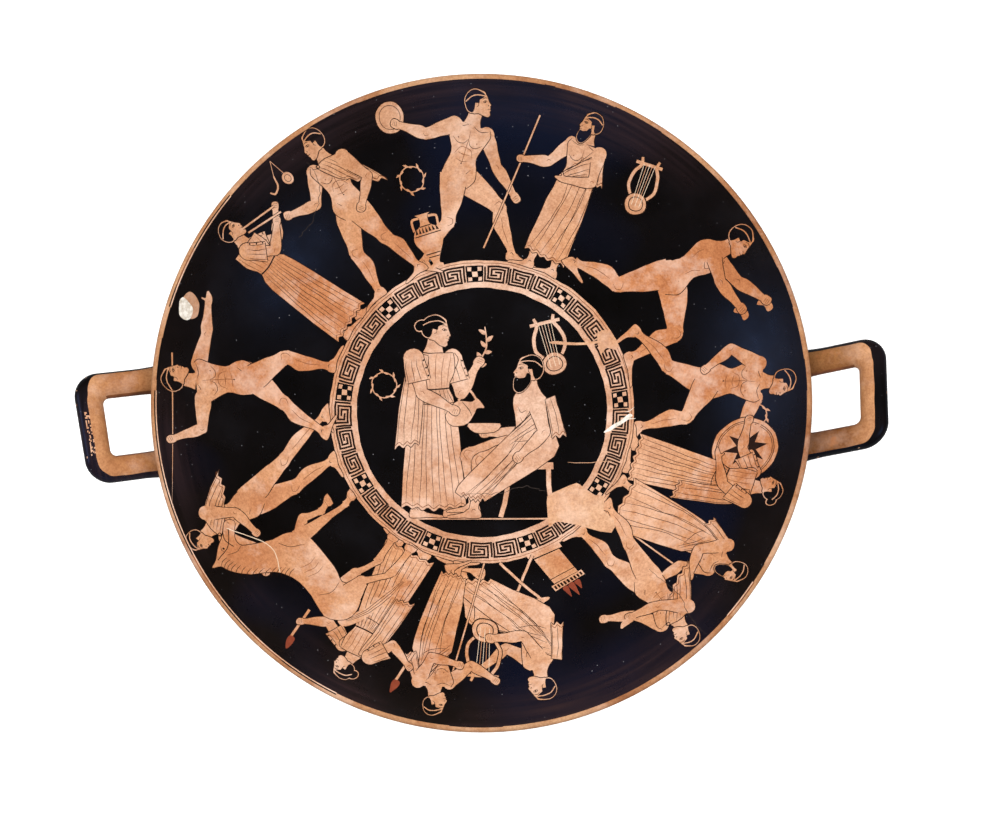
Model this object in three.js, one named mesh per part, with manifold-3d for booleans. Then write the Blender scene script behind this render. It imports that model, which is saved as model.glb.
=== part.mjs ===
// Greek kylix: a wide, shallow drinking cup of fired clay on a stemmed foot, with two horizontal loop handles.
// Bowl, stem, foot and handles are joined before firing, so the cup is one solid.
// Millimetres, +Z up. The origin is the centre of the foot's resting plane, and the handles lie along +X and -X.

import * as THREE from "three";
import { mergeVertices } from "three/addons/utils/BufferGeometryUtils.js";
import Module from "manifold-3d";

// Bowl
const RIM_RADIUS = 165;
const CUP_HEIGHT = 127;
const BOWL_DEPTH = 68;
const BOWL_FULLNESS = 2.5; // exponent of the bowl's curve: higher is flatter inside and steeper at the lip
const LIP_THICKNESS = 3.4;
const FLOOR_THICKNESS = 9;
const THINNING = 0.75; // exponent of the wall's change from floor to lip

// Stem
const STEM_RADIUS = 14;
const STEM_WAIST_HEIGHT = 27;
const BOWL_JOIN_RADIUS = 46; // where the bowl's underside starts to curve into the stem

// Foot
const FOOT_RADIUS = 62;
const FOOT_EDGE_HEIGHT = 8.4;
const FOOT_STEP_RADIUS = 54; // outer end of the foot's sloping top
const FOOT_STEP_RISE = 1.4; // small step between the sloping top and the edge moulding
const REST_INNER_RADIUS = 50; // inner edge of the flat resting ring
const REST_EDGE_ROUNDING = 2.6;
const HOLLOW_MOUTH_RADIUS = 15; // where the foot's underside turns up into the stem
const HOLLOW_MOUTH_HEIGHT = 8;
const HOLLOW_TOP_HEIGHT = 37;
const HOLLOW_TOP_RADIUS = 4.5;

// How the turned curves bend: two control points each, as shares [across, up] of the way to the curve's end
const HOLLOW_BEND = [[0.35, 0.55], [0.6, 0.85]];
const FOOT_TOP_BEND = [[0.62, 0.14], [1, 0.3]];
const STEM_TOP_BEND = [[0, 0.38], [0.32, 0.92]];
const UNDERSIDE_BEND = [0.45, 0.5];

// Handles, drawn flat as a frame between an inner and an outer outline, then laid on a sheet that rises outwards
const HANDLE_REACH = 203.5; // from the axis to the outside of the bar
const HANDLE_BAR_WIDTH = 13;
const HANDLE_OPENING_SPAN = 28.6; // clear width between the two arms
const HANDLE_ARM_WIDTH = 13.2;
const HANDLE_THICKNESS = 11.4;
const HANDLE_OUTER_CORNER = 12;
const HANDLE_INNER_CORNER = 3.2;
const HANDLE_ROOT_DROP = 25; // the roots' depth below the lip
const HANDLE_BAR_DROP = 7; // the bar's depth below the lip
const HANDLE_RISE_POWER = 1.35;
const ROOT_FLARE = 2.4; // how much each side of an arm widens where it meets the bowl
const ROOT_FLARE_LENGTH = 34;
const ROOT_THICKENING = 1.6;
// The handles were set on by eye: each has its own direction, arm slant and bar slant.
const HANDLES = [
  { azimuthDeg: -1.9, armSlant: 0.2, barSlant: -0.06 },
  { azimuthDeg: 182.1, armSlant: 0.11, barSlant: -0.13 },
];

// Facets
const TURNED_SEGMENTS = 76;
const BOWL_STEPS = 10;
const LIP_STEPS = 4;
const STEM_STEPS = 4;
const EDGE_STEPS = 3;
const HANDLE_SIDES = 14;
const HANDLE_STEPS = 34;
const WELD_DISTANCE = 1e-3;

// Parts of the handle's length, from one root to the middle of the bar
const ARM_SHARE = 0.29;
const CORNER_SHARE = 0.14;

const lipRadius = LIP_THICKNESS / 2;
const lipCentre = new THREE.Vector2(RIM_RADIUS - lipRadius, CUP_HEIGHT - lipRadius);
const floorHeight = CUP_HEIGHT - BOWL_DEPTH;
const wallStartHeight = floorHeight - FLOOR_THICKNESS / 2;
const wallRise = lipCentre.y - wallStartHeight;

// The middle of the bowl's wall at share t of the way from the axis to the lip, with its unit normal into the bowl.
function wallMiddle(t) {
  const slope = ((wallRise * BOWL_FULLNESS) / lipCentre.x) * t ** (BOWL_FULLNESS - 1);
  const point = new THREE.Vector2(t * lipCentre.x, wallStartHeight + wallRise * t ** BOWL_FULLNESS);
  return { point, normal: new THREE.Vector2(-slope, 1).normalize() };
}

// A point of the bowl's wall: side 1 is the inside, -1 the outside and 0 the middle.
function wallPoint(t, side) {
  const { point, normal } = wallMiddle(t);
  const thickness = THREE.MathUtils.lerp(FLOOR_THICKNESS, LIP_THICKNESS, t ** THINNING);
  return point.addScaledVector(normal, (side * thickness) / 2);
}

// The share t at which the outside of the wall has the given radius, found by halving.
function outsideShareAt(radius) {
  let low = 0;
  let high = 1;
  while (high - low > 1e-9) {
    const middle = (low + high) / 2;
    if (wallPoint(middle, -1).x < radius) low = middle;
    else high = middle;
  }
  return (low + high) / 2;
}

// The radius of the wall's middle at the given height.
function wallRadiusAt(height) {
  return lipCentre.x * ((height - wallStartHeight) / wallRise) ** (1 / BOWL_FULLNESS);
}

function between(a, b, share) {
  return a + (b - a) * share;
}

// The point at the given shares [across, up] of the way from start to end.
function partWay(start, end, [across, up]) {
  return new THREE.Vector2(between(start.x, end.x, across), between(start.y, end.y, up));
}

// Adds a curve from start to end, which bends by its two control points.
function curve(path, start, end, bend) {
  const first = partWay(start, end, bend[0]);
  const second = partWay(start, end, bend[1]);
  path.bezierCurveTo(first.x, first.y, second.x, second.y, end.x, end.y);
}

// The underside of the foot, from the top of the stem's hollow out to the resting ring.
function undersideOutline() {
  const top = new THREE.Vector2(HOLLOW_TOP_RADIUS, HOLLOW_TOP_HEIGHT - HOLLOW_TOP_RADIUS / 2);
  const mouth = new THREE.Vector2(HOLLOW_MOUTH_RADIUS, HOLLOW_MOUTH_HEIGHT);
  const rest = new THREE.Vector2(REST_INNER_RADIUS, 0);
  const path = new THREE.Path();
  path.moveTo(0, HOLLOW_TOP_HEIGHT);
  path.lineTo(top.x, top.y);
  curve(path, top, mouth, HOLLOW_BEND);
  const middle = partWay(mouth, rest, UNDERSIDE_BEND);
  path.quadraticCurveTo(middle.x, middle.y, rest.x, rest.y);
  return path.getPoints(STEM_STEPS);
}

// The foot's rounded edge and its small step, from the resting ring up to the sloping top.
function footEdgeOutline() {
  const path = new THREE.Path();
  const restOuterRadius = FOOT_RADIUS - REST_EDGE_ROUNDING;
  const stepTop = FOOT_EDGE_HEIGHT + FOOT_STEP_RISE;
  path.moveTo(restOuterRadius, 0);
  path.quadraticCurveTo(FOOT_RADIUS, 0, FOOT_RADIUS, FOOT_EDGE_HEIGHT / 2);
  path.quadraticCurveTo(
    FOOT_RADIUS,
    FOOT_EDGE_HEIGHT,
    between(FOOT_STEP_RADIUS, FOOT_RADIUS, 0.5),
    FOOT_EDGE_HEIGHT,
  );
  path.lineTo(FOOT_STEP_RADIUS + FOOT_STEP_RISE / 2, FOOT_EDGE_HEIGHT);
  path.lineTo(FOOT_STEP_RADIUS, stepTop);
  return path.getPoints(EDGE_STEPS);
}

// The foot's sloping top, the stem's waist and the curve out to the bowl's underside.
function stemOutline() {
  const start = new THREE.Vector2(FOOT_STEP_RADIUS, FOOT_EDGE_HEIGHT + FOOT_STEP_RISE);
  const waist = new THREE.Vector2(STEM_RADIUS, STEM_WAIST_HEIGHT);
  const join = wallPoint(outsideShareAt(BOWL_JOIN_RADIUS), -1);
  const path = new THREE.Path();
  path.moveTo(start.x, start.y);
  curve(path, start, waist, FOOT_TOP_BEND);
  curve(path, waist, join, STEM_TOP_BEND);
  return path.getPoints(STEM_STEPS).slice(1);
}

// The bowl from its underside, round the lip and down the inside to the axis.
function bowlOutline() {
  const points = [];
  const startShare = outsideShareAt(BOWL_JOIN_RADIUS);
  for (let i = 1; i <= BOWL_STEPS; i++) {
    points.push(wallPoint(between(startShare, 1, i / BOWL_STEPS), -1));
  }
  const outward = wallMiddle(1).normal.negate();
  for (let i = 1; i < LIP_STEPS; i++) {
    const spoke = outward.clone().rotateAround(new THREE.Vector2(), (Math.PI * i) / LIP_STEPS);
    points.push(lipCentre.clone().addScaledVector(spoke, lipRadius));
  }
  for (let i = BOWL_STEPS; i >= 0; i--) points.push(wallPoint(i / BOWL_STEPS, 1));
  return points;
}

// Turns an outline of (radius, height) points round the Z axis.
function turned(outline) {
  return new THREE.LatheGeometry(outline, TURNED_SEGMENTS).rotateX(Math.PI / 2);
}

// The space inside the middle of the bowl's wall, which the handles must not enter.
function insideOfWall() {
  const points = [new THREE.Vector2(0, wallStartHeight)];
  for (let i = 1; i <= BOWL_STEPS; i++) points.push(wallPoint(i / BOWL_STEPS, 0));
  points.push(new THREE.Vector2(lipCentre.x, CUP_HEIGHT + HANDLE_THICKNESS));
  points.push(new THREE.Vector2(0, CUP_HEIGHT + HANDLE_THICKNESS));
  return turned(points);
}

// A point of a U-shaped outline with round corners, at share s of its length, as (outward, sideways).
function outlinePoint(s, rootReach, reach, halfSpan, corner) {
  const side = s < 0.5 ? -1 : 1;
  const share = side < 0 ? s : 1 - s;
  if (share <= ARM_SHARE) {
    return new THREE.Vector2(between(rootReach, reach - corner, share / ARM_SHARE), side * halfSpan);
  }
  if (share <= ARM_SHARE + CORNER_SHARE) {
    const angle = ((share - ARM_SHARE) / CORNER_SHARE) * (Math.PI / 2);
    return new THREE.Vector2(
      reach - corner + corner * Math.sin(angle),
      side * (halfSpan - corner + corner * Math.cos(angle)),
    );
  }
  const barShare = (0.5 - share) / (0.5 - ARM_SHARE - CORNER_SHARE);
  return new THREE.Vector2(reach, side * (halfSpan - corner) * barShare);
}

// One loop handle: a round bar swept between the two outlines, with its ends inside the bowl's wall.
function handleGeometry({ azimuthDeg, armSlant, barSlant }) {
  const rootHeight = CUP_HEIGHT - HANDLE_ROOT_DROP;
  const barHeight = CUP_HEIGHT - HANDLE_BAR_DROP;
  const rootReach = wallRadiusAt(rootHeight);
  const sweepStart = rootReach - HANDLE_THICKNESS;
  const openingReach = HANDLE_REACH - HANDLE_BAR_WIDTH;
  const innerHalfSpan = HANDLE_OPENING_SPAN / 2;
  const outerHalfSpan = innerHalfSpan + HANDLE_ARM_WIDTH;
  const barReach = HANDLE_REACH - HANDLE_BAR_WIDTH / 2;
  const slantGain = Math.abs(barSlant) * (outerHalfSpan - HANDLE_OUTER_CORNER / 2);

  // Height of the sheet that carries the loop, at distance u from the axis.
  function sheetHeight(u) {
    const share = Math.max(0, (u - rootReach) / (barReach - rootReach));
    return between(rootHeight, barHeight, share ** HANDLE_RISE_POWER);
  }

  // Unit normal of the sheet, as (outward, up).
  function sheetNormal(u) {
    const near = u - HANDLE_THICKNESS / 20;
    const far = u + HANDLE_THICKNESS / 20;
    return new THREE.Vector2(sheetHeight(near) - sheetHeight(far), far - near).normalize();
  }

  // 1 where the arm meets the bowl, 0 past the flare.
  function rootShare(u) {
    return THREE.MathUtils.smoothstep(rootReach + ROOT_FLARE_LENGTH - u, 0, ROOT_FLARE_LENGTH);
  }

  // Slants the flat loop, with its farthest corner kept at the handle's reach.
  function slanted({ x: u, y: v }) {
    const share = THREE.MathUtils.smoothstep(u, rootReach, HANDLE_REACH);
    return new THREE.Vector2(u + (barSlant * v - slantGain) * share, v + armSlant * (u - rootReach));
  }

  const section = new THREE.Shape().absarc(0, 0, 1, 0, 2 * Math.PI, false);
  const bar = new THREE.ExtrudeGeometry(section, {
    depth: 1,
    steps: HANDLE_STEPS,
    bevelEnabled: false,
    curveSegments: HANDLE_SIDES / 2, // a whole circle gets twice as many
  });
  const position = bar.getAttribute("position");
  for (let i = 0; i < position.count; i++) {
    const across = position.getX(i);
    const upward = -position.getY(i); // the outlines run the other way round from the section
    const s = position.getZ(i);
    const outer = outlinePoint(s, sweepStart, HANDLE_REACH, outerHalfSpan, HANDLE_OUTER_CORNER);
    const inner = outlinePoint(s, sweepStart, openingReach, innerHalfSpan, HANDLE_INNER_CORNER);
    const flare = ROOT_FLARE * rootShare((outer.x + inner.x) / 2) * Math.sign(outer.y);
    const flatPoint = slanted(
      new THREE.Vector2(
        between(inner.x, outer.x, (1 + across) / 2),
        between(inner.y - flare, outer.y + flare, (1 + across) / 2),
      ),
    );
    const normal = sheetNormal(flatPoint.x);
    const lift = (upward * (HANDLE_THICKNESS + ROOT_THICKENING * rootShare(flatPoint.x))) / 2;
    position.setXYZ(
      i,
      flatPoint.x + normal.x * lift,
      flatPoint.y,
      sheetHeight(flatPoint.x) + normal.y * lift,
    );
  }
  return bar.rotateZ(THREE.MathUtils.degToRad(azimuthDeg));
}

const wasm = await Module();
wasm.setup();

function solidOf(geometry) {
  const bare = geometry.clone();
  bare.deleteAttribute("normal");
  bare.deleteAttribute("uv");
  const merged = mergeVertices(bare, WELD_DISTANCE);
  return new wasm.Manifold(
    new wasm.Mesh({
      numProp: 3,
      vertProperties: merged.getAttribute("position").array,
      triVerts: new Uint32Array(merged.index.array),
    }),
  );
}

function geometryOf(solid) {
  const mesh = solid.getMesh();
  const geometry = new THREE.BufferGeometry();
  geometry.setAttribute("position", new THREE.BufferAttribute(mesh.vertProperties, 3));
  geometry.setIndex(new THREE.BufferAttribute(mesh.triVerts, 1));
  geometry.computeVertexNormals();
  return geometry;
}

function cupGeometry() {
  const outline = [...undersideOutline(), ...footEdgeOutline(), ...stemOutline(), ...bowlOutline()];
  const core = solidOf(insideOfWall());
  let cup = solidOf(turned(outline));
  for (const handle of HANDLES) cup = cup.add(solidOf(handleGeometry(handle)).subtract(core));
  return geometryOf(cup);
}

const blackGloss = new THREE.MeshStandardMaterial({
  name: "black_gloss",
  color: 0x14141a,
  roughness: 0.3,
  metalness: 0,
});

const cup = new THREE.Mesh(cupGeometry(), blackGloss);
cup.name = "kylix";

const group = new THREE.Group();
group.add(cup);

export default group;
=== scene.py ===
# Greek kylix: a wide red-figure drinking cup in black gloss over orange clay, on a pale floor,
# seen from above. Sizes are millimetres until a mesh is made.
# The cup is one closed piece, and its painting is part of its mesh.

import math
import random

import bpy
import numpy as np
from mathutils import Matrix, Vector
from mathutils.bvhtree import BVHTree
from mathutils.geometry import delaunay_2d_cdt


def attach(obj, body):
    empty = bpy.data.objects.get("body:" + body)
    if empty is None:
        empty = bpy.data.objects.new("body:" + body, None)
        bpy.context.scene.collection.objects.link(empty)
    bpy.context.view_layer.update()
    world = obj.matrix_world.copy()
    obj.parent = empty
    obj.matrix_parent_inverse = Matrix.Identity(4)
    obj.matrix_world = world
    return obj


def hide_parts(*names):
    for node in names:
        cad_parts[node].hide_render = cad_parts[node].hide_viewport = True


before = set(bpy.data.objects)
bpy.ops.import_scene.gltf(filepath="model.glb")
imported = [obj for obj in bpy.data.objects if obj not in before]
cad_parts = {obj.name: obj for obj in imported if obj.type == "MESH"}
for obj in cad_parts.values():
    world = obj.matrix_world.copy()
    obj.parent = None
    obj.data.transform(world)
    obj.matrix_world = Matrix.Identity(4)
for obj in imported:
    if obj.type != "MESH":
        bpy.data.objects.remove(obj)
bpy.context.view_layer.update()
random.seed(11)

MM = 0.001

# Cup sizes, as in the frame's solid
RIM_RADIUS = 165
CUP_HEIGHT = 127
BOWL_DEPTH = 68
BOWL_FULLNESS = 2.5
LIP_THICKNESS = 3.4
FLOOR_THICKNESS = 9
THINNING = 0.75
STEM_RADIUS = 14
STEM_WAIST_HEIGHT = 27
BOWL_JOIN_RADIUS = 46
FOOT_RADIUS = 62
FOOT_EDGE_HEIGHT = 8.4
FOOT_STEP_RADIUS = 54
FOOT_STEP_RISE = 1.4
REST_INNER_RADIUS = 50
REST_EDGE_ROUNDING = 2.6
HOLLOW_MOUTH_RADIUS = 15
HOLLOW_MOUTH_HEIGHT = 8
HOLLOW_TOP_HEIGHT = 37
HOLLOW_TOP_RADIUS = 4.5
HOLLOW_BEND = [[0.35, 0.55], [0.6, 0.85]]
FOOT_TOP_BEND = [[0.62, 0.14], [1, 0.3]]
STEM_TOP_BEND = [[0, 0.38], [0.32, 0.92]]
UNDERSIDE_BEND = [0.45, 0.5]
HANDLE_REACH = 203.5
HANDLE_BAR_WIDTH = 13
HANDLE_OPENING_SPAN = 28.6
HANDLE_ARM_WIDTH = 13.2
HANDLE_THICKNESS = 11.4
HANDLE_OUTER_CORNER = 12
HANDLE_INNER_CORNER = 3.2
HANDLE_ROOT_DROP = 25
HANDLE_BAR_DROP = 7
HANDLE_RISE_POWER = 1.35
ROOT_FLARE = 2.4
ROOT_FLARE_LENGTH = 34
ROOT_THICKENING = 1.6
# The right handle and the left. Flaked is the place along it where the black has come off
HANDLES = [
    {"azimuth": -1.9, "arm_slant": 0.2, "bar_slant": -0.06, "clay": "dark_clay", "flaked": None},
    {"azimuth": 182.1, "arm_slant": 0.11, "bar_slant": -0.13, "clay": "plain_clay", "flaked": 0.53},
]
# Where the black ends on each handle, in degrees above level
HANDLES[0].update(first_arm_edge=48, second_arm_edge=44, bar_edge=72)
HANDLES[1].update(first_arm_edge=30, second_arm_edge=56, bar_edge=68)
ARM_SHARE = 0.29
CORNER_SHARE = 0.14

# Fineness of the mesh
AROUND = 192
SHEET_SPACING = 4
EDGE_PLAY = 0.05
LIP_ROWS = 16
LIP_LINE_ROWS = (2, 4)
# Where the lip has its thin line, in degrees anticlockwise from the right
LIP_LINE_SPANS = [(139, 162), (177, 242), (317, 326)]
TURNED_STEPS = 12
SHARPEST_LEFT = -0.93
HANDLE_COLUMNS = 54
PAINTED_COLUMNS = 31
# The column painted dark along the inner edge of the handle arms, as shade
SHADED_EDGE_COLUMN = 43
PAINT_UNDERSIDE = -100
FLAKED_LENGTH = 0.07
HANDLE_ROWS = 240
WALL_SAMPLES = 4000

# Painting
UNDER_RING = (24, 43)
RELIEF_LINE = 0.38
FINE_LINE = 0.28
CONTOUR = 0.8
STOOL_WIDTH = 17.0
WREATH_LEAVES = 14

lip_radius = LIP_THICKNESS / 2
lip_centre = np.array([RIM_RADIUS - lip_radius, CUP_HEIGHT - lip_radius])
wall_start = CUP_HEIGHT - BOWL_DEPTH - FLOOR_THICKNESS / 2
wall_rise = lip_centre[1] - wall_start


def lerp(a, b, share):
    return a + (b - a) * share


def smoothstep(x, low, high):
    share = np.clip((x - low) / (high - low), 0, 1)
    return share * share * (3 - 2 * share)


def unit(v):
    return v / np.linalg.norm(v, axis=-1, keepdims=True)


def directions(turn):
    """Unit vectors at angles in radians."""
    return np.column_stack([np.cos(turn), np.sin(turn)])


def smooth(points, closed=False, steps=4):
    """A curve through the points."""
    p = np.asarray(points, float)
    if closed:
        p = np.vstack([p[-1], p, p[:2]])
    else:
        p = np.vstack([2 * p[0] - p[1], p, 2 * p[-1] - p[-2]])
    t = np.linspace(0, 1, steps, endpoint=False)[:, None]
    pieces = [
        (2 * b + (c - a) * t + (2 * a - 5 * b + 4 * c - d) * t**2 + (3 * b - a - 3 * c + d) * t**3) / 2
        for a, b, c, d in zip(p, p[1:], p[2:], p[3:])
    ]
    line = np.vstack(pieces)
    return line if closed else np.vstack([line, p[-2]])


def bezier(*controls, steps=TURNED_STEPS):
    """A quadratic or cubic curve, without its first point."""
    t = np.linspace(0, 1, steps + 1)[1:, None]
    points = [np.asarray(c, float) for c in controls]
    while len(points) > 1:
        points = [lerp(a, b, t) for a, b in zip(points, points[1:])]
    return points[0]


# The wall of the bowl


class Wall:
    """One face of the bowl's wall, by distance from the axis: side 1 is the inside, -1 the outside."""

    def __init__(self, side):
        t = np.linspace(0, 1, WALL_SAMPLES)
        slope = wall_rise * BOWL_FULLNESS / lip_centre[0] * t ** (BOWL_FULLNESS - 1)
        run = np.hypot(1, slope)
        half = side * lerp(FLOOR_THICKNESS, LIP_THICKNESS, t**THINNING) / 2
        self.side = side
        self.radius = t * lip_centre[0] - slope / run * half
        self.height = wall_start + wall_rise * t**BOWL_FULLNESS + half / run
        self.steepness = np.gradient(self.height, self.radius)
        steps = np.hypot(np.diff(self.radius), np.diff(self.height))
        self.arc = np.concatenate([[0], np.cumsum(steps)])
        self.edge = self.radius[-1]

    def height_at(self, radius):
        return np.interp(radius, self.radius, self.height)

    def radius_at_arc(self, arc):
        return np.interp(arc, self.arc, self.radius)

    def arc_at(self, radius):
        return np.interp(radius, self.radius, self.arc)

    def points(self, plan):
        return np.column_stack([plan, self.height_at(np.hypot(*plan.T))])

    def normals(self, plan):
        radius = np.hypot(*plan.T)
        steepness = np.interp(radius, self.radius, self.steepness)
        outward = plan / np.maximum(radius, 1e-6)[:, None]
        return self.side * unit(np.column_stack([-outward * steepness[:, None], np.ones(len(plan))]))


inside = Wall(1)
outside = Wall(-1)

# Painting on a flat sheet, which is later lifted to the wall


def hand_wobble(points):
    """Small wanderings of the painter's hand, the same for every outline that passes a place."""
    x, y = points.T
    shift_x = 0.16 * np.sin(0.37 * x + 0.21 * y + 1.3) + 0.1 * np.sin(0.83 * y - 0.29 * x)
    shift_y = 0.16 * np.sin(0.31 * y - 0.26 * x + 0.4) + 0.1 * np.sin(0.77 * x + 0.34 * y + 2.1)
    return points + np.column_stack([shift_x, shift_y])


def signed_area(outline):
    x, y = outline.T
    return float(np.dot(x, np.roll(y, -1)) - np.dot(y, np.roll(x, -1))) / 2


def strip(line, width, taper=0.0):
    """The outline of a brush stroke along a line. Taper 1 ends it in points."""
    steps = np.diff(line, axis=0)
    length = np.linalg.norm(steps, axis=1)
    line = line[np.append(length > 1e-4, True)]
    steps = unit(np.diff(line, axis=0))
    before = np.vstack([steps[:1], steps])
    after = np.vstack([steps, steps[-1:]])
    along = unit(before + after + 1e-9)
    normal = np.column_stack([-along[:, 1], along[:, 0]])
    straight = np.column_stack([-after[:, 1], after[:, 0]])
    mitre = 1 / np.clip((normal * straight).sum(1), 0.6, 1)
    place = np.linspace(-1, 1, len(line))
    half = width / 2 * (1 - taper * np.abs(place) ** 3) * mitre
    offset = normal * half[:, None]
    return np.vstack([line + offset, (line - offset)[::-1]])


class Painting:
    """Painted outlines in the order they are laid on. Each covers what lies below it."""

    def __init__(self, reach):
        self.reach = reach
        self.points = []
        self.outlines = []
        self.colours = []

    def add(self, outline, colour):
        outline = np.asarray(outline, float)
        far = np.hypot(*outline.T)
        outline = outline * np.minimum(1, self.reach / np.maximum(far, 1e-6))[:, None]
        area = signed_area(outline)
        if abs(area) < 0.004:
            return
        if area < 0:
            outline = outline[::-1]
        first = len(self.points)
        self.points.extend(map(tuple, outline))
        self.outlines.append(list(range(first, first + len(outline))))
        self.colours.append(colour)


class Brush:
    """Paints in coordinates of its own, which place() lays on the painting."""

    def __init__(self, painting, place):
        self.painting = painting
        self.place = place

    def fill(self, outline, colour="clay"):
        self.painting.add(hand_wobble(self.place(np.asarray(outline, float))), colour)

    def blob(self, points, colour="clay", steps=4):
        self.fill(smooth(points, closed=True, steps=steps), colour)

    def disc(self, centre, radius, colour="clay", count=20, squash=1.0):
        turn = np.linspace(0, 2 * math.pi, count, endpoint=False)
        circle = directions(turn) * (1, squash) * radius
        self.fill(circle + np.asarray(centre, float), colour)

    def stroke(self, line, colour="line", width=RELIEF_LINE, taper=0.5):
        placed = hand_wobble(self.place(np.asarray(line, float)))
        self.painting.add(strip(placed, width, taper), colour)

    def curve(self, points, colour="line", width=RELIEF_LINE, taper=0.5, steps=4):
        self.stroke(smooth(points, steps=steps), colour, width, taper)

    def ring(self, centre, radius, colour="line", width=RELIEF_LINE, count=24):
        for start in (0, math.pi):
            turn = np.linspace(start - 0.05, start + math.pi + 0.05, count // 2 + 1)
            arc = directions(turn) * radius
            self.stroke(arc + np.asarray(centre, float), colour, width, taper=0)

    def marks(self, *lines, colour="line", width=FINE_LINE, taper=0.5):
        for line in lines:
            self.curve(line, colour, width, taper)

    def rimmed_disc(self, centre, outer, inner, count, squash=1.0):
        self.disc(centre, outer, "line", count, squash)
        self.disc(centre, inner, "clay", count, squash)

    def bar(self, line, outer, inner):
        """A clay stroke with a dark edge."""
        self.stroke(line, "line", outer, taper=0)
        self.stroke(line, "clay", inner, taper=0)

    def box(self, left, bottom, right, top, colour="clay"):
        self.fill([(left, bottom), (right, bottom), (right, top), (left, top)], colour)

    def moved(self, x=0, y=0, turn=0, size=1, mirrored=False):
        c = math.cos(math.radians(turn))
        s = math.sin(math.radians(turn))
        scale = np.array([-size if mirrored else size, size])
        turned = np.array([[c, s], [-s, c]])
        return Brush(self.painting, lambda points: self.place((points * scale) @ turned + (x, y)))


def standing_place(angle, ground):
    """Upright outwards from a ring, at an angle clockwise from the top. Feet follow the ring."""
    a = math.radians(angle)
    outward = np.array([math.sin(a), math.cos(a)])
    right = np.array([math.cos(a), -math.sin(a)])

    def place(points):
        x, y = points.T
        drop = np.sqrt(np.maximum(ground**2 - x**2, 0)) - ground
        lift = ground + y + drop * np.clip(1 - y / 45, 0, 1)
        return x[:, None] * right + lift[:, None] * outward

    return place


def outside_place(angle, ground):
    """Upright towards the lip on the outside of the bowl, with lengths kept along the curved wall."""
    ground_arc = outside.arc_at(ground)

    def place(points):
        x, y = points.T
        radius = outside.radius_at_arc(ground_arc + y)
        turn = math.radians(angle) + x / np.maximum(lerp(radius, 120, 0.35), 1)
        return np.column_stack([np.sin(turn), np.cos(turn)]) * radius[:, None]

    return place


# Figures, about 80 tall, facing right. Angles are from straight down, positive forwards.
THIGH = [(0, 4.6, 5.4), (0.22, 5.1, 5.0), (0.55, 4.3, 4.0), (0.85, 3.1, 3.0), (1, 3.1, 2.7)]
SHANK = [(0, 3.1, 2.6), (0.12, 2.6, 2.8), (0.34, 2.2, 4.1), (0.6, 1.8, 3.0), (0.86, 1.4, 1.5), (1, 1.6, 1.9)]
UPPER_ARM = [(0, 2.9, 2.9), (0.3, 2.7, 2.8), (0.7, 2.1, 2.2), (1, 1.9, 2.0)]
FOREARM = [(0, 1.9, 2.0), (0.28, 2.2, 2.2), (0.75, 1.4, 1.4), (1, 1.2, 1.2)]
NECK = [(0, 3.4, 3.6), (0.35, 2.4, 2.7), (1, 2.3, 2.9)]
TORSO_OPEN = [(-0.2, 3.6, 4.0), (0, 5.4, 6.3), (0.16, 5.3, 6.0), (0.4, 4.2, 4.6), (0.66, 6.2, 6.0),
              (0.88, 7.6, 7.4), (1.0, 6.2, 6.4)]
TORSO_SIDE = [(-0.2, 3.4, 4.2), (0, 4.4, 6.0), (0.16, 4.4, 5.4), (0.4, 3.8, 3.8), (0.7, 5.6, 4.9),
              (0.9, 5.0, 5.2), (1.02, 3.0, 3.8)]
FOOT = [(-1.9, 0.8), (1.7, 0.8), (3.8, -0.9), (7.8, -1.7), (9.6, -2.2), (9.4, -2.9), (3.4, -2.6),
        (-1.8, -2.9), (-2.9, -1.9)]
FIST = [(-0.4, 1.4), (1.6, 1.9), (3.2, 1.3), (3.4, -0.6), (2.2, -1.7), (-0.2, -1.3)]
OPEN_HAND = [(-0.3, 1.2), (1.5, 1.5), (2.3, 2.9), (2.9, 2.7), (2.7, 1.3), (5.6, 0.9), (5.9, 0.1),
             (3.4, -1.2), (-0.2, -1.2)]
SKULL = [(4.1, 3.6), (2.6, 5.4), (-0.4, 6.4), (-3.6, 5.6), (-5.6, 3.2), (-6.0, 0.4), (-4.9, -2.3),
         (-2.6, -3.4), (1.5, -2.5)]
FACE = [(2.4, 5.4), (4.2, 3.6), (4.9, 1.6), (5.2, 0.6), (6.1, -1.2), (5.4, -1.7), (5.7, -2.3), (5.2, -2.7),
        (5.5, -3.2), (4.9, -3.9), (5.0, -5.0), (4.0, -5.8), (2.0, -5.3), (-0.2, -3.9), (-2.6, -3.2),
        (-2.0, 2.0)]
HAIR = [(3.8, 3.5), (2.4, 5.0), (-0.45, 6.1), (-3.5, 5.35), (-5.35, 3.1), (-5.7, 0.4), (-4.65, -2.1),
        (-2.5, -3.1), (-1.5, -1.4), (-1.2, 0.6), (0.6, 0.5), (0.9, 1.8), (2.6, 2.5)]
BEARD = [(-0.6, -1.2), (0.8, -1.0), (1.6, -2.6), (3.6, -3.1), (5.3, -2.9), (6.0, -5.0), (5.6, -7.6),
         (3.6, -9.0), (1.2, -7.6), (-0.8, -4.4)]
SLEEVE = [(0, 3.3, 3.4), (0.5, 3.6, 3.9), (1, 3.9, 4.6)]

LIMB_BULK = 1.12
TORSO_BULK = 1.26
SHOULDER_SPREAD = 7.4
THIGH_LENGTH = 20
SHANK_LENGTH = 19
ANKLE_HEIGHT = 2.9
TORSO_LENGTH = 21.5
UPPER_ARM_LENGTH = 13.5
FOREARM_LENGTH = 12.5
NECK_LENGTH = 8.6
HEAD_SIZE = 0.95
HIP_SEAM = 0.28
SHOULDER_SEAM = 0.35
FIRST_FOLD = 0.06
LAST_FOLD = 0.94


def heading(angle):
    """Unit vector at an angle from straight down, positive towards the right."""
    a = math.radians(angle)
    return np.array([math.sin(a), -math.cos(a)])


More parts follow.
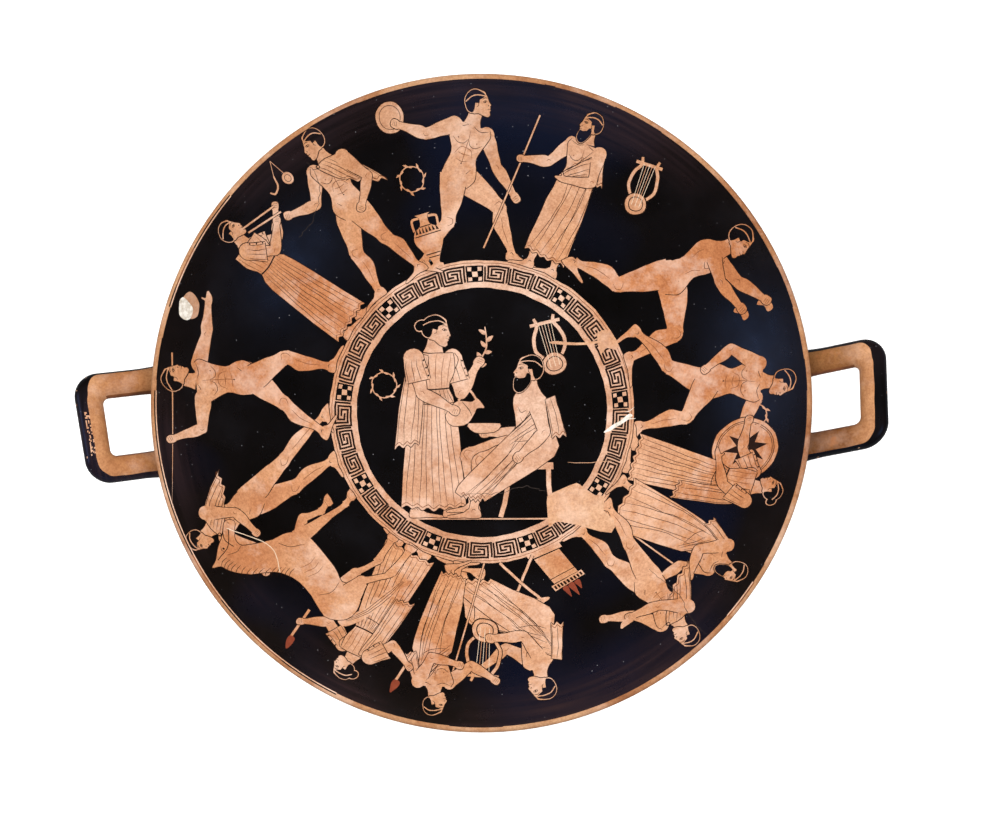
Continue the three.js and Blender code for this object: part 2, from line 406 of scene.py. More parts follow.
def sides(start, end, profile, steps=3):
    """The two long sides of a limb whose half widths are (share along, in front, behind)."""
    along = end - start
    across = unit(np.array([-along[1], along[0]]))
    front = [start + along * share + across * ahead for share, ahead, behind in profile]
    back = [start + along * share - across * behind for share, ahead, behind in profile]
    return smooth(front, steps=steps), smooth(back, steps=steps)


class Cutout:
    """Shapes laid on as one. A dark contour parts them from what is below, but not from each other."""

    def __init__(self, brush):
        self.brush = brush
        self.edges = []
        self.outlines = []

    def limb(self, start, end, profile, seam=0.0, bulk=LIMB_BULK):
        widths = [(share, ahead * bulk, behind * bulk) for share, ahead, behind in profile]
        front, back = sides(start, end, widths)
        first = int(len(front) * seam)
        self.edges += [front[first:], back[first:]]
        self.outlines.append(np.vstack([front, back[::-1]]))

    def joint(self, centre, radius, edge=True):
        """A round where two parts of a limb meet."""
        turn = np.linspace(0, 2 * math.pi, 17)
        circle = directions(turn) * radius * LIMB_BULK + centre
        if edge:
            self.edges += [circle[:9], circle[8:]]
        self.outlines.append(circle[:-1])

    def shape(self, points, steps=4):
        outline = smooth(points, closed=True, steps=steps)
        middle = len(outline) // 2
        self.edges += [outline[: middle + 1], np.vstack([outline[middle:], outline[:1]])]
        self.outlines.append(outline)

    def lay(self):
        for edge in self.edges:
            self.brush.stroke(edge, "line", CONTOUR, taper=0.3)
        for outline in self.outlines:
            self.brush.fill(outline)


def lay_shape(brush, points, steps=3):
    cut = Cutout(brush)
    cut.shape(points, steps)
    cut.lay()


def at(points, origin, angle=0.0):
    """Points moved to an origin and turned anticlockwise by an angle."""
    a = math.radians(angle)
    turned = np.array([[math.cos(a), math.sin(a)], [-math.sin(a), math.cos(a)]])
    return np.asarray(points, float) @ turned + origin


class Figure:
    """A person in a pose. Legs and arms are (far, near) pairs of (upper, lower) angles."""

    def __init__(self, brush, legs, arms, lean=0, nod=0, open_chest=True, grips=(True, True), feet=(0, 0)):
        self.brush = brush
        self.lean = lean
        self.nod = nod
        self.open_chest = open_chest
        self.grips = grips
        self.feet = feet
        self.leg_angles = legs
        self.arm_angles = arms
        drops = [THIGH_LENGTH * heading(a)[1] + SHANK_LENGTH * heading(b)[1] for a, b in legs]
        self.hip = np.array([0.0, ANKLE_HEIGHT - min(drops)])
        self.up = -heading(-lean)
        self.forward = np.array([self.up[1], -self.up[0]])
        self.shoulder = self.hip + self.up * TORSO_LENGTH
        spread = SHOULDER_SPREAD if open_chest else 1.6
        self.shoulders = [self.body(0.9, spread), self.body(0.9, -spread)]
        self.hips = [self.body(0, 2.2), self.body(0, -1.6)]
        self.knees = [hip + THIGH_LENGTH * heading(a) for hip, (a, b) in zip(self.hips, legs)]
        self.ankles = [knee + SHANK_LENGTH * heading(b) for knee, (a, b) in zip(self.knees, legs)]
        self.elbows = [s + UPPER_ARM_LENGTH * heading(a) for s, (a, b) in zip(self.shoulders, arms)]
        self.hands = [e + FOREARM_LENGTH * heading(b) for e, (a, b) in zip(self.elbows, arms)]
        neck_up = unit(self.up * 1.4 + np.array([0.25, 0.6]))
        self.head = self.shoulder + neck_up * NECK_LENGTH

    def body(self, share, ahead):
        """A place on the torso: share of the way from hip to shoulders, and distance in front."""
        return self.hip + self.up * TORSO_LENGTH * share + self.forward * ahead

    def wide(self, share, ahead):
        """As body(), with the distance in front grown with the torso."""
        return self.body(share, ahead * TORSO_BULK)

    def lines(self, *strokes, colour="line"):
        self.brush.marks(*[[self.body(*place) for place in stroke] for stroke in strokes], colour=colour)

    def sleeve(self, which):
        """A buttoned sleeve down to the middle of the upper arm."""
        shoulder = self.shoulders[which]
        hem = lerp(shoulder, self.elbows[which], 0.66)
        cut = Cutout(self.brush)
        cut.joint(shoulder, 3.4)
        cut.limb(shoulder, hem, SLEEVE)
        cut.lay()
        front, back = sides(shoulder, hem, SLEEVE)
        folds(self.brush, [front[0], back[0]], [front[-1], back[-1]], 4, 0.05)
        self.brush.stroke([front[-1], back[-1]], "line", RELIEF_LINE, taper=0)
        for share in (0.15, 0.5, 0.85):
            self.brush.disc(between(front, share), 0.4, "line", 8)

    def leg(self, which):
        cut = Cutout(self.brush)
        hip, knee, ankle = self.hips[which], self.knees[which], self.ankles[which]
        cut.limb(hip, knee, THIGH, HIP_SEAM)
        cut.joint(hip, 4.9, edge=False)
        cut.joint(knee, 2.9)
        cut.limb(knee, ankle, SHANK)
        cut.shape(at(FOOT, ankle, self.feet[which]), steps=3)
        cut.lay()
        knee_line = at([(-1.6, 1.4), (0.9, 2.2), (2.0, 0.4), (0.8, -1.8)], knee, self.leg_angles[which][1])
        along = unit(ankle - knee)
        side = np.array([-along[1], along[0]])
        shin = [lerp(knee, ankle, s) + side * o for s, o in ((0.22, -0.3), (0.5, -0.7), (0.78, -0.2))]
        self.brush.marks(knee_line, shin, colour="dilute_and_shade")
        self.brush.marks(at([(-0.9, 0.2), (0.1, 0.7), (0.7, -0.1)], ankle, self.feet[which]))

    def arm(self, which):
        cut = Cutout(self.brush)
        shoulder, elbow, hand = self.shoulders[which], self.elbows[which], self.hands[which]
        cut.limb(shoulder, elbow, UPPER_ARM, SHOULDER_SEAM)
        cut.joint(shoulder, 3.1, edge=False)
        cut.joint(elbow, 1.95)
        cut.limb(elbow, hand, FOREARM)
        angle = self.arm_angles[which][1] - 90
        cut.shape(at(FIST if self.grips[which] else OPEN_HAND, hand, angle), steps=3)
        cut.lay()
        if self.grips[which]:
            for ahead in (0.9, 1.7, 2.5):
                self.brush.stroke(at([(ahead, 0.9), (ahead + 0.1, -1.2)], hand, angle), "line", FINE_LINE)
        self.brush.marks(at([(-1.0, 0.4), (0.2, 0.8), (1.1, 0.2)], elbow, angle), colour="dilute_and_shade")

    def torso(self, bare=True):
        cut = Cutout(self.brush)
        cut.limb(self.hip, self.shoulder, TORSO_OPEN if self.open_chest else TORSO_SIDE, bulk=TORSO_BULK)
        cut.limb(self.shoulder, self.head, NECK)
        cut.lay()
        if not bare:
            return
        if self.open_chest:
            collar = [[(0.98, 1.2), (0.93, 4.2), (0.97, 7.8)], [(0.98, -1.2), (0.93, -4.2), (0.97, -7.6)]]
            front_chest = [(0.72, 0.3), (0.62, 1.6), (0.6, 4.2), (0.68, 6.8)]
            back_chest = [(0.72, -0.1), (0.62, -1.4), (0.6, -4.0), (0.68, -6.4)]
            self.lines(*collar, front_chest, back_chest)
            middle = [(0.88, 0.3), (0.6, 0.2), (0.34, 0.3), (0.14, 0.2)]
            ribs = [(0.4, -3.8), (0.53, -2.2), (0.56, 0.2), (0.53, 2.6), (0.4, 3.8)]
            belly = [[(0.44, -2.4), (0.42, 0.1), (0.44, 2.6)], [(0.31, -2.6), (0.29, 0.1), (0.31, 2.8)]]
            self.lines(middle, ribs, *belly, colour="dilute_and_shade")
            self.lines([(0.17, -5.4), (0.02, -3.2), (-0.12, -0.7)], [(0.17, 5.0), (0.04, 3.0), (-0.12, 0.9)])
            self.brush.disc(self.body(0.25, 0.2), 0.32, "line", 8)
            self.brush.disc(self.body(0.69, 4.4), 0.3, "dilute_and_shade", 8)
            self.brush.disc(self.body(0.69, -4.2), 0.3, "dilute_and_shade", 8)
        else:
            self.lines([(0.74, 4.6), (0.64, 3.4), (0.68, 1.2)], [(0.12, 3.4), (0.02, 1.4), (-0.08, -0.6)])
            back = [(0.8, -2.8), (0.66, -3.6), (0.52, -2.6)]
            self.lines([(0.56, 3.6), (0.44, 2.2), (0.28, 1.8)], back, colour="dilute_and_shade")

    def face(self, hair="short", beard=False):
        head = self.brush.moved(*self.head, turn=self.nod - self.lean * 0.3, size=HEAD_SIZE)
        cut = Cutout(head)
        cut.shape(FACE, steps=3)
        cut.shape(SKULL)
        if hair == "bun":
            cut.shape([(-4.6, 3.6), (-7.4, 3.4), (-8.8, 1.2), (-7.6, -1.0), (-5.0, -0.6)])
        if beard:
            cut.shape(at(BEARD, (0.1, -0.3)), steps=3)
        cut.lay()
        head.blob(HAIR, "gloss", steps=3)
        if hair == "bun":
            head.blob([(-5.0, 3.3), (-7.3, 3.1), (-8.45, 1.1), (-7.4, -0.6), (-5.2, -0.2)], "gloss")
        if beard:
            head.blob(np.array(BEARD) * 0.96 + (0.14, -0.34), "gloss", steps=3)
        head.curve([(3.6, 3.2), (0.6, 3.9), (-2.6, 3.4), (-5.4, 1.6)], "clay", 0.5, taper=0)
        head.marks([(2.4, 0.7), (3.3, 1.2), (4.5, 0.8)], taper=0)
        head.marks([(2.4, 0.7), (3.3, 0.3), (4.3, 0.6)])
        head.disc((3.5, 0.7), 0.3, "line", 8)
        brow, nostril = [(2.2, 1.9), (3.4, 2.4), (4.7, 2.0)], [(5.4, -1.1), (4.8, -1.1), (4.9, -1.6)]
        mouth, ear = [(5.2, -2.7), (4.2, -2.6)], [(-0.9, 0.6), (0.2, 0.5), (0.2, -0.6), (-0.7, -1.3)]
        head.marks(brow, nostril, mouth, ear)

    def near_arm(self, dress=None):
        self.arm(1)
        if dress in ("robe", "dress"):
            self.sleeve(1)

    def draw(self, hair="short", beard=False, dress=None, near_arm=True):
        self.arm(0)
        if dress in ("robe", "dress"):
            self.sleeve(0)
        if dress in (None, "cloak"):
            self.leg(0)
            self.torso()
            self.leg(1)
            if dress == "cloak":
                short_cloak(self)
        else:
            for which in (0, 1):
                self.leg(which)
            self.torso(bare=dress == "himation")
            {"himation": himation, "robe": robe, "dress": long_dress}[dress](self)
        self.face(hair, beard)
        if near_arm:
            self.near_arm(dress)


def between(line, share):
    """The point at a share of the way along a line of points."""
    line = np.asarray(line, float)
    place = share * (len(line) - 1)
    first = min(int(place), len(line) - 2)
    return lerp(line[first], line[first + 1], place - first)


def folds(brush, top, bottom, count, sag, colour="line"):
    """Fold lines from one edge of a cloth to the other, which bow sideways by sag."""
    for i in range(count):
        share = lerp(FIRST_FOLD, LAST_FOLD, i / (count - 1))
        start, end = between(top, share), between(bottom, share)
        bow = np.array([end[1] - start[1], start[0] - end[0]]) * sag * (0.6 + 0.4 * math.sin(2.3 * i))
        line = [start, lerp(start, end, 0.33) + bow, lerp(start, end, 0.7) + bow * 0.7, end]
        brush.curve(line, colour, FINE_LINE, taper=0.8, steps=3)


def cloth(brush, left, top, right, bottom, scallops=5):
    """A cloth with a wavy hem. Its sides run downwards, and its top and bottom to the right."""
    left, right = smooth(left, steps=3), smooth(right, steps=3)
    top = smooth(top, steps=3)
    waves = 2 * scallops
    hem = [between(bottom, i / waves) + (0, 0.9 if i % 2 else -0.3) for i in range(waves + 1)]
    hem = smooth(hem, steps=3)
    for edge in (left, right, hem, top):
        brush.stroke(edge, "line", CONTOUR, taper=0.2)
    brush.fill(np.vstack([top, right[1:], hem[::-1], left[::-1][1:-1]]))
    brush.stroke(hem + (0, 1.1), "dilute_and_shade", 0.35, taper=0.2)


def himation(f):
    """A cloak from the back shoulder round the hips, down to the shins."""
    hem = min(f.ankles[0][1], f.ankles[1][1]) + 4.5
    front_knee = max(f.knees[0][0], f.knees[1][0])
    back_ankle = min(f.ankles[0][0], f.ankles[1][0])
    front_ankle = max(f.ankles[0][0], f.ankles[1][0])
    top = [f.wide(0.98, -7.2), f.wide(0.7, -2.0), f.wide(0.42, 2.6), f.wide(0.2, 6.0)]
    knee = np.array([max(front_knee + 4.2, 7), f.hip[1] - 14])
    right = [top[-1], knee, np.array([front_ankle + 4.5, hem + 1])]
    left = [top[0], f.wide(0.4, -7.6), f.wide(-0.1, -8.4), np.array([back_ankle - 4.5, hem - 0.5])]
    bottom = [left[-1], np.array([(back_ankle + front_ankle) / 2, hem - 0.8]), right[-1]]
    cloth(f.brush, left, top, right, bottom)
    folds(f.brush, [f.wide(0.9, -6.6), f.wide(0.5, -5.5), f.wide(0.3, 3.0)], bottom, 7, 0.07)
    folds(f.brush, [f.wide(0.86, -5.2), f.wide(0.4, -4.0)], [f.wide(0.28, 5.4), f.wide(0.02, 5.6)], 4, -0.06)
    f.lines([(0.9, -4.0), (0.62, 0.2), (0.34, 4.4)], [(0.3, -6.8), (0.16, -2.0), (0.12, 4.8)])
    tail = [f.wide(0.98, -7.4), f.wide(0.9, -4.4)]
    ends = [f.wide(0.28, -11.5), f.wide(0.22, -7.5)]
    cloth(f.brush, [tail[0], ends[0]], tail, [tail[1], ends[1]], ends, scallops=2)
    folds(f.brush, tail, ends, 3, 0.04)


def robe(f):
    """A long belted robe with short sleeves."""
    hem = min(f.ankles[0][1], f.ankles[1][1]) + 1.0
    top = [f.wide(1.02, -6.4), f.wide(1.0, -2.6), f.wide(1.0, 2.4), f.wide(1.0, 6.0)]
    waist = [f.wide(0.38, -5.0), f.wide(0.38, 4.8)]
    back = min(f.ankles[0][0], f.ankles[1][0]) - 6.0
    front = max(f.ankles[0][0], f.ankles[1][0]) + 6.0
    left = [top[0], f.wide(0.7, -6.6), waist[0], f.wide(0, -7.4), np.array([back, hem])]
    right = [top[-1], f.wide(0.7, 6.4), waist[1], f.wide(0, 7.0), np.array([front, hem])]
    bottom = [left[-1], np.array([(back + front) / 2, hem - 1]), right[-1]]
    cloth(f.brush, left, top, right, bottom, scallops=6)
    folds(f.brush, waist, bottom, 9, 0.02)
    folds(f.brush, top, waist, 6, 0.03, "dilute_and_shade")
    f.brush.curve([waist[0], f.wide(0.36, 0), waist[1]], "line", 0.7, taper=0)


def long_dress(f):
    """A fine pleated dress with an overfold, under a mantle on one shoulder."""
    robe(f)
    over = [f.wide(0.14, -7.0), f.wide(0.08, 0), f.wide(0.14, 7.0)]
    folds(f.brush, [f.wide(0.36, -4.6), f.wide(0.36, 4.6)], over, 8, 0.03)
    f.brush.curve(over, "line", RELIEF_LINE, taper=0)
    top = [f.wide(1.0, -6.6), f.wide(0.96, -1.4)]
    bottom = [f.wide(-0.7, -11.5), f.wide(-0.62, -4.2)]
    left = [top[0], f.wide(0.3, -9.6), bottom[0]]
    right = [top[1], f.wide(0.2, -3.0), bottom[1]]
    cloth(f.brush, left, top, right, bottom, 3)
    folds(f.brush, top, bottom, 4, 0.05)


def short_cloak(f):
    """A short cloak that hangs from the shoulders behind."""
    top = [f.wide(1.0, -6.0), f.wide(1.03, 0), f.wide(0.98, 4.5)]
    bottom = [f.wide(0.1, -16.5), f.wide(0.22, -10.0), f.wide(0.5, -3.0)]
    left = [top[0], f.wide(0.6, -11.0), bottom[0]]
    right = [top[-1], f.wide(0.78, 2.0), bottom[-1]]
    cloth(f.brush, left, top, right, bottom, 4)
    folds(f.brush, top, bottom, 6, 0.05)
    f.brush.rimmed_disc(f.wide(0.97, 3.6), 0.9, 0.5, 10)


# Things in the scenes


def rod(brush, centre, angle, length, width=0.75, share=0.5):
    """A stick with a share of its length above the centre."""
    along = heading(angle)
    start = np.asarray(centre) - along * length * share
    brush.bar([start, start + along * length], width + 0.6, width)


def lyre(brush, centre, turn, size):
    b = brush.moved(*centre, turn=turn, size=size)
    for side in (-1, 1):
        horn = [(side * 2.6, 1.0), (side * 6.2, 6.0), (side * 5.6, 12.0)]
        horn += [(side * 3.6, 16.0), (side * 4.2, 19.0)]
        b.curve(horn, "line", 2.2 * size, taper=0.1)
        b.curve(horn, "clay", 1.4 * size, taper=0.2)
    b.stroke([(-6.2, 16.6), (6.2, 16.6)], "clay", 1.3 * size, taper=0)
    b.rimmed_disc((0, -0.6), 5.4, 4.9, 22, 0.9)
    b.rimmed_disc((0, -0.6), 3.5, 3.1, 20, 0.9)
    for i in range(5):
        x = (i - 2) * 0.9
        b.stroke([(x, -1.5), (x * 1.5, 16.6)], "clay" if i % 2 else "cream", 0.26, taper=0)


def shield(brush, centre, radius):
    brush.rimmed_disc(centre, radius + 0.4, radius, 40)
    brush.ring(centre, radius - 1.6, "line", 0.35, 36)
    brush.ring(centre, radius - 2.3, "line", FINE_LINE, 36)
    for i in range(8):
        tip = np.asarray(centre) + heading(45 * i) * (radius - 4.0)
        side = heading(45 * i + 90) * 1.7
        middle = lerp(np.asarray(centre, float), tip, 0.42)
        brush.fill([centre, middle + side, tip, middle - side], "line")
    brush.rimmed_disc(centre, 1.5, 0.9, 12)


def jar(brush, size):
    """A tall two-handled jar with patterned bands."""
    b = brush.moved(size=size)
    half = [(3.2, 0), (3.0, 1.2), (1.6, 2.4), (4.4, 7.5), (6.6, 13.0), (5.6, 16.6), (2.3, 18.6), (2.0, 22.0)]
    outline = smooth(half + [(3.4, 23.2)], steps=3)
    b.fill(np.vstack([outline, outline[::-1] * (-1, 1)]), "clay")
    for y, reach in ((4.6, 2.6), (6.0, 3.4), (14.8, 6.0), (18.2, 2.6)):
        b.stroke([(-reach, y), (reach, y)], "line", 0.5, taper=0)
    for i in range(-3, 4):
        b.fill([(i * 1.6 - 0.6, 15.6), (i * 1.6 + 0.6, 15.6), (i * 1.5, 18.0)], "line")
    for side in (-1, 1):
        b.curve([(side * 2.2, 21.8), (side * 5.6, 21.4), (side * 5.6, 17.0)], "clay", 1.0 * size, taper=0)


def stool(brush, seat):
    """A folding stool with a cushion, under a seated figure."""
    x, y = seat
    for reach in (-STOOL_WIDTH * 0.42, STOOL_WIDTH * 0.42):
        leg = [(x - reach, y - 1), (x, y * 0.5), (x + reach, 0.2)]
        brush.bar(smooth(leg), 2.0, 1.3)
    left, right = x - STOOL_WIDTH / 2, x + STOOL_WIDTH / 2
    brush.blob([(left, y - 1.6), (right, y - 1.6), (right + 0.8, y), (x, y + 1.4), (left - 0.8, y)])
    for i in range(7):
        place = x + (i - 3) * STOOL_WIDTH / 7.5
        brush.stroke([(place, y - 1.4), (place + 0.3, y + 0.8)], "line", 0.3)


def altar(b):
    b.box(-8, 0, 8, 2.2)
    b.box(-6.2, 2.6, 6.2, 16)
    b.box(-8, 16.4, 8, 19)
    for i in range(-4, 5):
        b.box(i * 1.7 - 0.5, 16.9, i * 1.7 + 0.5, 18.5, "line")
    b.stroke([(-6.2, 13.6), (6.2, 13.6)], "line", RELIEF_LINE, taper=0)
    for x, lick in ((-3, 4.4), (0, 6.6), (3, 5.2)):
        tip = [(x + 1.0, 19.4 + lick * 0.5), (x + 0.4, 19.4 + lick)]
        b.blob([(x - 1.4, 19.4), (x + 1.4, 19.4), *tip], "ochre", steps=3)


def wreath(brush, centre, radius):
    brush.ring(centre, radius, "clay", 0.5, 28)
    for i in range(WREATH_LEAVES):
        turn = i * 360 / WREATH_LEAVES
        spot = np.asarray(centre) + heading(turn) * radius
        tip = heading(turn + (60 if i % 2 else 110))
        side = np.array([-tip[1], tip[0]]) * 0.6
        brush.fill([spot, spot + tip * 1.4 + side, spot + tip * 3.0, spot + tip * 1.4 - side])


def hung_kit(brush, nail):
    """A scraper and a round oil flask on a cord."""
    x, y = nail
    flask = (x - 3.0, y - 9.4)
    for end in ((x - 2.5, y - 7), (x + 2, y - 6)):
        brush.stroke([nail, end], "clay", 0.3, taper=0)
    brush.disc(flask, 2.6, "clay", 16)
    brush.ring(flask, 1.5, "line", FINE_LINE, 14)
    scraper = [(x + 2, y - 6), (x + 2.6, y - 10), (x + 5.4, y - 12.6), (x + 7.4, y - 11)]
    brush.curve(scraper, "clay", 0.9, taper=0.3)


HORSE = [(-30, 45), (-24, 49.5), (-12, 47.6), (0, 48.5), (8, 54), (14, 63), (21, 69.5), (25.5, 71.5),
         (27.4, 75), (29.2, 71), (33, 67.2), (37.6, 60.4), (41.2, 56.4), (40.8, 53.4), (38, 52.6),
         (35.4, 55.2), (31.6, 57.6), (27.6, 57.2), (24.2, 52), (20.6, 44), (19.2, 37), (14, 31.5),
         (6, 29.6), (-8, 30.4), (-16, 32.6), (-22, 30), (-29, 33), (-32.4, 40)]
HORSE_UPPER = [(0, 3.8, 4.6), (0.4, 2.9, 3.2), (1, 1.9, 2.0)]
HORSE_LOWER = [(0, 2.0, 2.0), (0.3, 1.3, 1.4), (0.8, 1.1, 1.3), (1, 1.4, 1.6)]
HORSE_HAUNCH = [(0, 6.5, 6.2), (0.5, 4.6, 4.6), (1, 2.6, 3.0)]


def horse_leg(brush, joints, haunch=False, seam=0.3):
    cut = Cutout(brush)
    points = [np.array(j, float) for j in joints]
    cut.limb(points[0], points[1], HORSE_HAUNCH if haunch else HORSE_UPPER, seam)
    cut.joint(points[1], 2.5 if haunch else 1.9)
    for start, end in zip(points[1:-2], points[2:-1]):
        cut.limb(start, end, HORSE_LOWER)
        cut.joint(end, 1.6)
    cut.limb(points[-2], points[-1], HORSE_LOWER)
    x, y = points[-1]
    cut.shape([(x - 1.6, y + 0.6), (x + 1.4, y + 0.8), (x + 3.2, y - 2.4), (x - 2.0, y - 2.4)], steps=2)
    cut.lay()
    brush.stroke([(x - 1.5, y + 0.3), (x + 1.8, y + 0.3)], "line", FINE_LINE)


def horse(brush):
    """A horse walking to the right, with one foreleg lifted."""
    tail = [(-29.5, 46), (-34.5, 45), (-37.6, 36), (-38.0, 24), (-35.6, 14), (-33.6, 22), (-33.4, 34)]
    brush.blob(tail + [(-31.0, 40)])
    for shift in (0, 1.1, 2.2):
        root, end = -33 + shift * 0.4, -35.7 + shift * 0.4
        brush.marks([(root, 43), (-36.6 + shift, 34), (-36.9 + shift, 24), (end, 16)])
    horse_leg(brush, [(11, 36), (20, 27), (17.0, 17.5), (18.6, 13.5)])
    horse_leg(brush, [(-21, 38), (-17.0, 25.5), (-19.5, 14.5), (-15.5, 2.6)], haunch=True)
    lay_shape(brush, HORSE)
    horse_leg(brush, [(14, 35), (13, 19), (12.2, 6), (13.4, 2.6)], seam=0.45)
    horse_leg(brush, [(-24, 39), (-22, 26.5), (-28.4, 16.0), (-25.4, 2.6)], haunch=True, seam=0.55)
    mane = smooth([(25.0, 71.6), (19.0, 69.6), (12.0, 63.6), (6.0, 55.6), (1.0, 50.4)])
    for i in range(15):
        root = between(mane, i / 14)
        brush.marks([root, root + (1.8, -2.2), root + (2.2, -5.2)], width=0.32)
    brush.marks([(27.8, 57.4), (26.4, 61), (28.2, 65.4)])
    brush.disc((31.8, 65.0), 0.55, "line", 8)
    brush.marks([(30.2, 65.6), (31.8, 66.2), (33.4, 65.2)], [(40.9, 55.2), (39.4, 55.0)])
    bridle = [[(28.6, 70.4), (31.8, 62.0), (37.6, 57.0)], [(29.6, 60.6), (34.6, 61.8), (38.2, 60.2)]]
    brush.marks(*bridle, width=0.4, taper=0)
    brush.marks([(17.6, 43), (13, 40), (9.4, 34)], [(-14, 45), (-17, 39), (-15.4, 33.4)])
    brush.marks(*[[(x, 43), (x - 1.4, 38), (x - 0.6, 34)] for x in (-4, -1, 2)], colour="dilute_and_shade")
    brush.marks([(38.2, 57.4), (26, 50), (16, 47), (6, 52)], colour="cream", width=0.4, taper=0)


def palmette(brush, size, petals, turn=0):
    """A fan of petals over a heart, held by two volutes."""
    b = brush.moved(turn=turn, size=size)
    for i in range(petals):
        angle = lerp(-105, 105, i / (petals - 1))
        length = 12.5 - abs(angle) * 0.045
        petal = b.moved(0, 3.0, turn=-angle)
        petal.blob([(-0.5, 1.6), (-1.75, length - 3), (0, length), (1.75, length - 3), (0.5, 1.6)], "clay")
        petal.stroke([(0, 3), (0, length - 2)], "dilute_and_shade", 0.3)
    b.rimmed_disc((0, 3.0), 2.3, 1.8, 16)
    for side in (-1, 1):
        turns = np.linspace(0, 2.6 * math.pi, 26)
        radius = np.linspace(4.2, 0.6, 26)
        spiral = np.column_stack([side * (4.3 - radius * np.cos(turns)), -2.6 - radius * np.sin(turns)])
        b.stroke(spiral, "clay", 0.9 * size, taper=0.2)


def leaf_branch(brush, points, leaves):
    """A tendril with small leaves on alternate sides."""
    line = smooth(points, steps=5)
    brush.stroke(line, "clay", 0.75, taper=0.3)
    for i in range(1, leaves + 1):
        place = i / (leaves + 1)
        root, ahead = between(line, place), between(line, min(place + 0.03, 1))
        along = unit(ahead - root)
        side = np.array([-along[1], along[0]]) * (1 if i % 2 else -1)
        tip = root + along * 1.9 + side * 2.6
        leaf = [root, root + side * 1.7 + along * 0.2, tip, root + side * 0.6 + along * 1.5]
        brush.blob(leaf, "clay", steps=3)


# Scenes: generic people of the exercise ground, the riding ground and the feast


def discus_thrower(b):
    f = Figure(b, [(48, 12), (-14, -42)], [(14, 30), (-78, -112)], lean=24, nod=6, feet=(0, -24))
    discus = f.hands[1] + (-3.4, 3.0)
    b.rimmed_disc(discus, 6.6, 6.2, 26)
    b.ring(discus, 4.7, "line", FINE_LINE, 22)
    f.draw()


def trainer(b):
    f = Figure(b, [(10, 2), (-8, -6)], [(34, 74), (-6, 78)], nod=-4, grips=(True, False))
    rod(b, f.hands[0] + (0.8, 0), 3, 62, share=0.34)
    f.draw(beard=True, dress="himation")


def jumper(b):
    f = Figure(b, [(62, -8), (-26, -76)], [(96, 108), (70, 92)], lean=10, open_chest=False, feet=(-4, -12))
    weight = [(-2.6, -2.2), (0, -0.8), (2.8, -1.6), (3.2, 1.0), (0, 2.0), (-3.0, 0.8)]
    for hand in f.hands:
        b.blob(at(weight, hand + (2.6, -0.6), 10), steps=3)
        b.marks(at([(-1.4, 0.6), (0, 1.0), (1.6, 0.5)], hand + (2.6, -0.6), 10))
    f.draw()


def shield_runner(b):
    f = Figure(b, [(-34, -64), (52, 4)], [(60, 96), (-40, 30)], lean=12, feet=(-58, 0))
    f.draw()
    shield(b, f.hands[0] + (-3, -1), 13.2)
    lay_shape(b, at(FIST, f.hands[0] + (-1.0, 0), 10))


def wreath_bearer(b):
    f = Figure(b, [(9, 3), (-7, -5)], [(52, 88), (24, 66)], nod=-6, grips=(True, False))
    wreath(b, f.hands[0] + (4.5, 2.5), 5.0)
    f.draw(hair="bun", dress="dress")


def offering(b):
    altar(b.moved(19, 0))
    f = Figure(b.moved(-9, 0), [(14, 4), (-10, -12)], [(30, 58), (48, 72)], lean=4, nod=-10, feet=(0, -12))
    f.draw(dress="cloak")
    bowl = f.hands[1] + (3.6, 0.8)
    f.brush.blob([bowl + (-4, 1.0), bowl + (4, 1.0), bowl + (2.6, -1.3), bowl + (-2.6, -1.3)], steps=3)


def lyre_player(b):
    f = Figure(b, [(78, 2), (84, -8)], [(50, 118), (24, 84)], lean=-3, nod=6, open_chest=False)
    stool(b, (f.hip[0] - 1, f.hip[1] - 5.5))
    f.draw(dress="himation", near_arm=False)
    lyre(b, f.hands[1] + (3.0, -3.0), turn=-16, size=1.1)
    f.near_arm()


def listener(b):
    f = Figure(b, [(4, 0), (18, -14)], [(40, 112), (16, 96)], lean=9, nod=-8, feet=(0, -18))
    rod(b, (13, 30), 5, 60)
    f.draw(dress="himation")


def groom_and_horse(b):
    place = b.moved(39, 0, mirrored=True)
    f = Figure(place, [(16, 4), (-12, -14)], [(58, 104), (36, 84)], lean=-2, nod=4, feet=(0, -10))
    f.draw(dress="cloak", near_arm=False)
    horse(b.moved(-3, 0))
    f.near_arm()


def javelin_thrower(b):
    legs, arms = [(-30, -30), (44, -2)], [(84, 92), (-84, -150)]
    f = Figure(b, legs, arms, lean=-14, nod=4, grips=(False, True), feet=(-26, 2))
    rod(b, f.hands[1] + (4, 2.2), 96, 66, width=0.7)
    f.draw()


def flute_player(b):
    f = Figure(b, [(8, 2), (-6, -4)], [(56, 128), (40, 122)], nod=2, open_chest=False)
    f.draw(dress="robe")
    mouth = f.head + (5.0, -3.0)
    for drop in (0, -3.6):
        rod(b, mouth + (8.5, drop - 3.2), 72 + drop, 19, width=0.8)


def athlete(b):
    f = Figure(b, [(20, 2), (-14, -18)], [(30, 100), (-24, 46)], lean=-3, nod=-3, feet=(0, -10))
    f.draw(dress="cloak")
    hung_kit(b, (21, 74))


def torch_bearer(b):
    f = Figure(b, [(12, 4), (-9, -8)], [(60, 118), (-34, -118)], nod=3, feet=(0, -8))
    for hand in f.hands:
        rod(b, hand + (0.6, 0), 176, 17, width=1.3, share=0.4)
        b.blob(hand + [(-0.8, 9.6), (2.0, 9.6), (2.4, 12.6), (0.9, 16.4), (-0.9, 13)], "ochre")
    f.draw(hair="bun", dress="dress")


def leaning_man(b):
    f = Figure(b, [(16, 8), (-6, -10)], [(22, 68), (38, 104)], lean=7, nod=-4, feet=(0, -12))
    rod(b, (13.5, 27), -6, 58)
    f.draw(beard=True, dress="himation")


def hung_lyre(b):
    lyre(b, (0, 52), turn=16, size=1.1)


def jar_scene(b):
    jar(b, 1.15)
    wreath(b.moved(0, 44), (0, 0), 6.0)


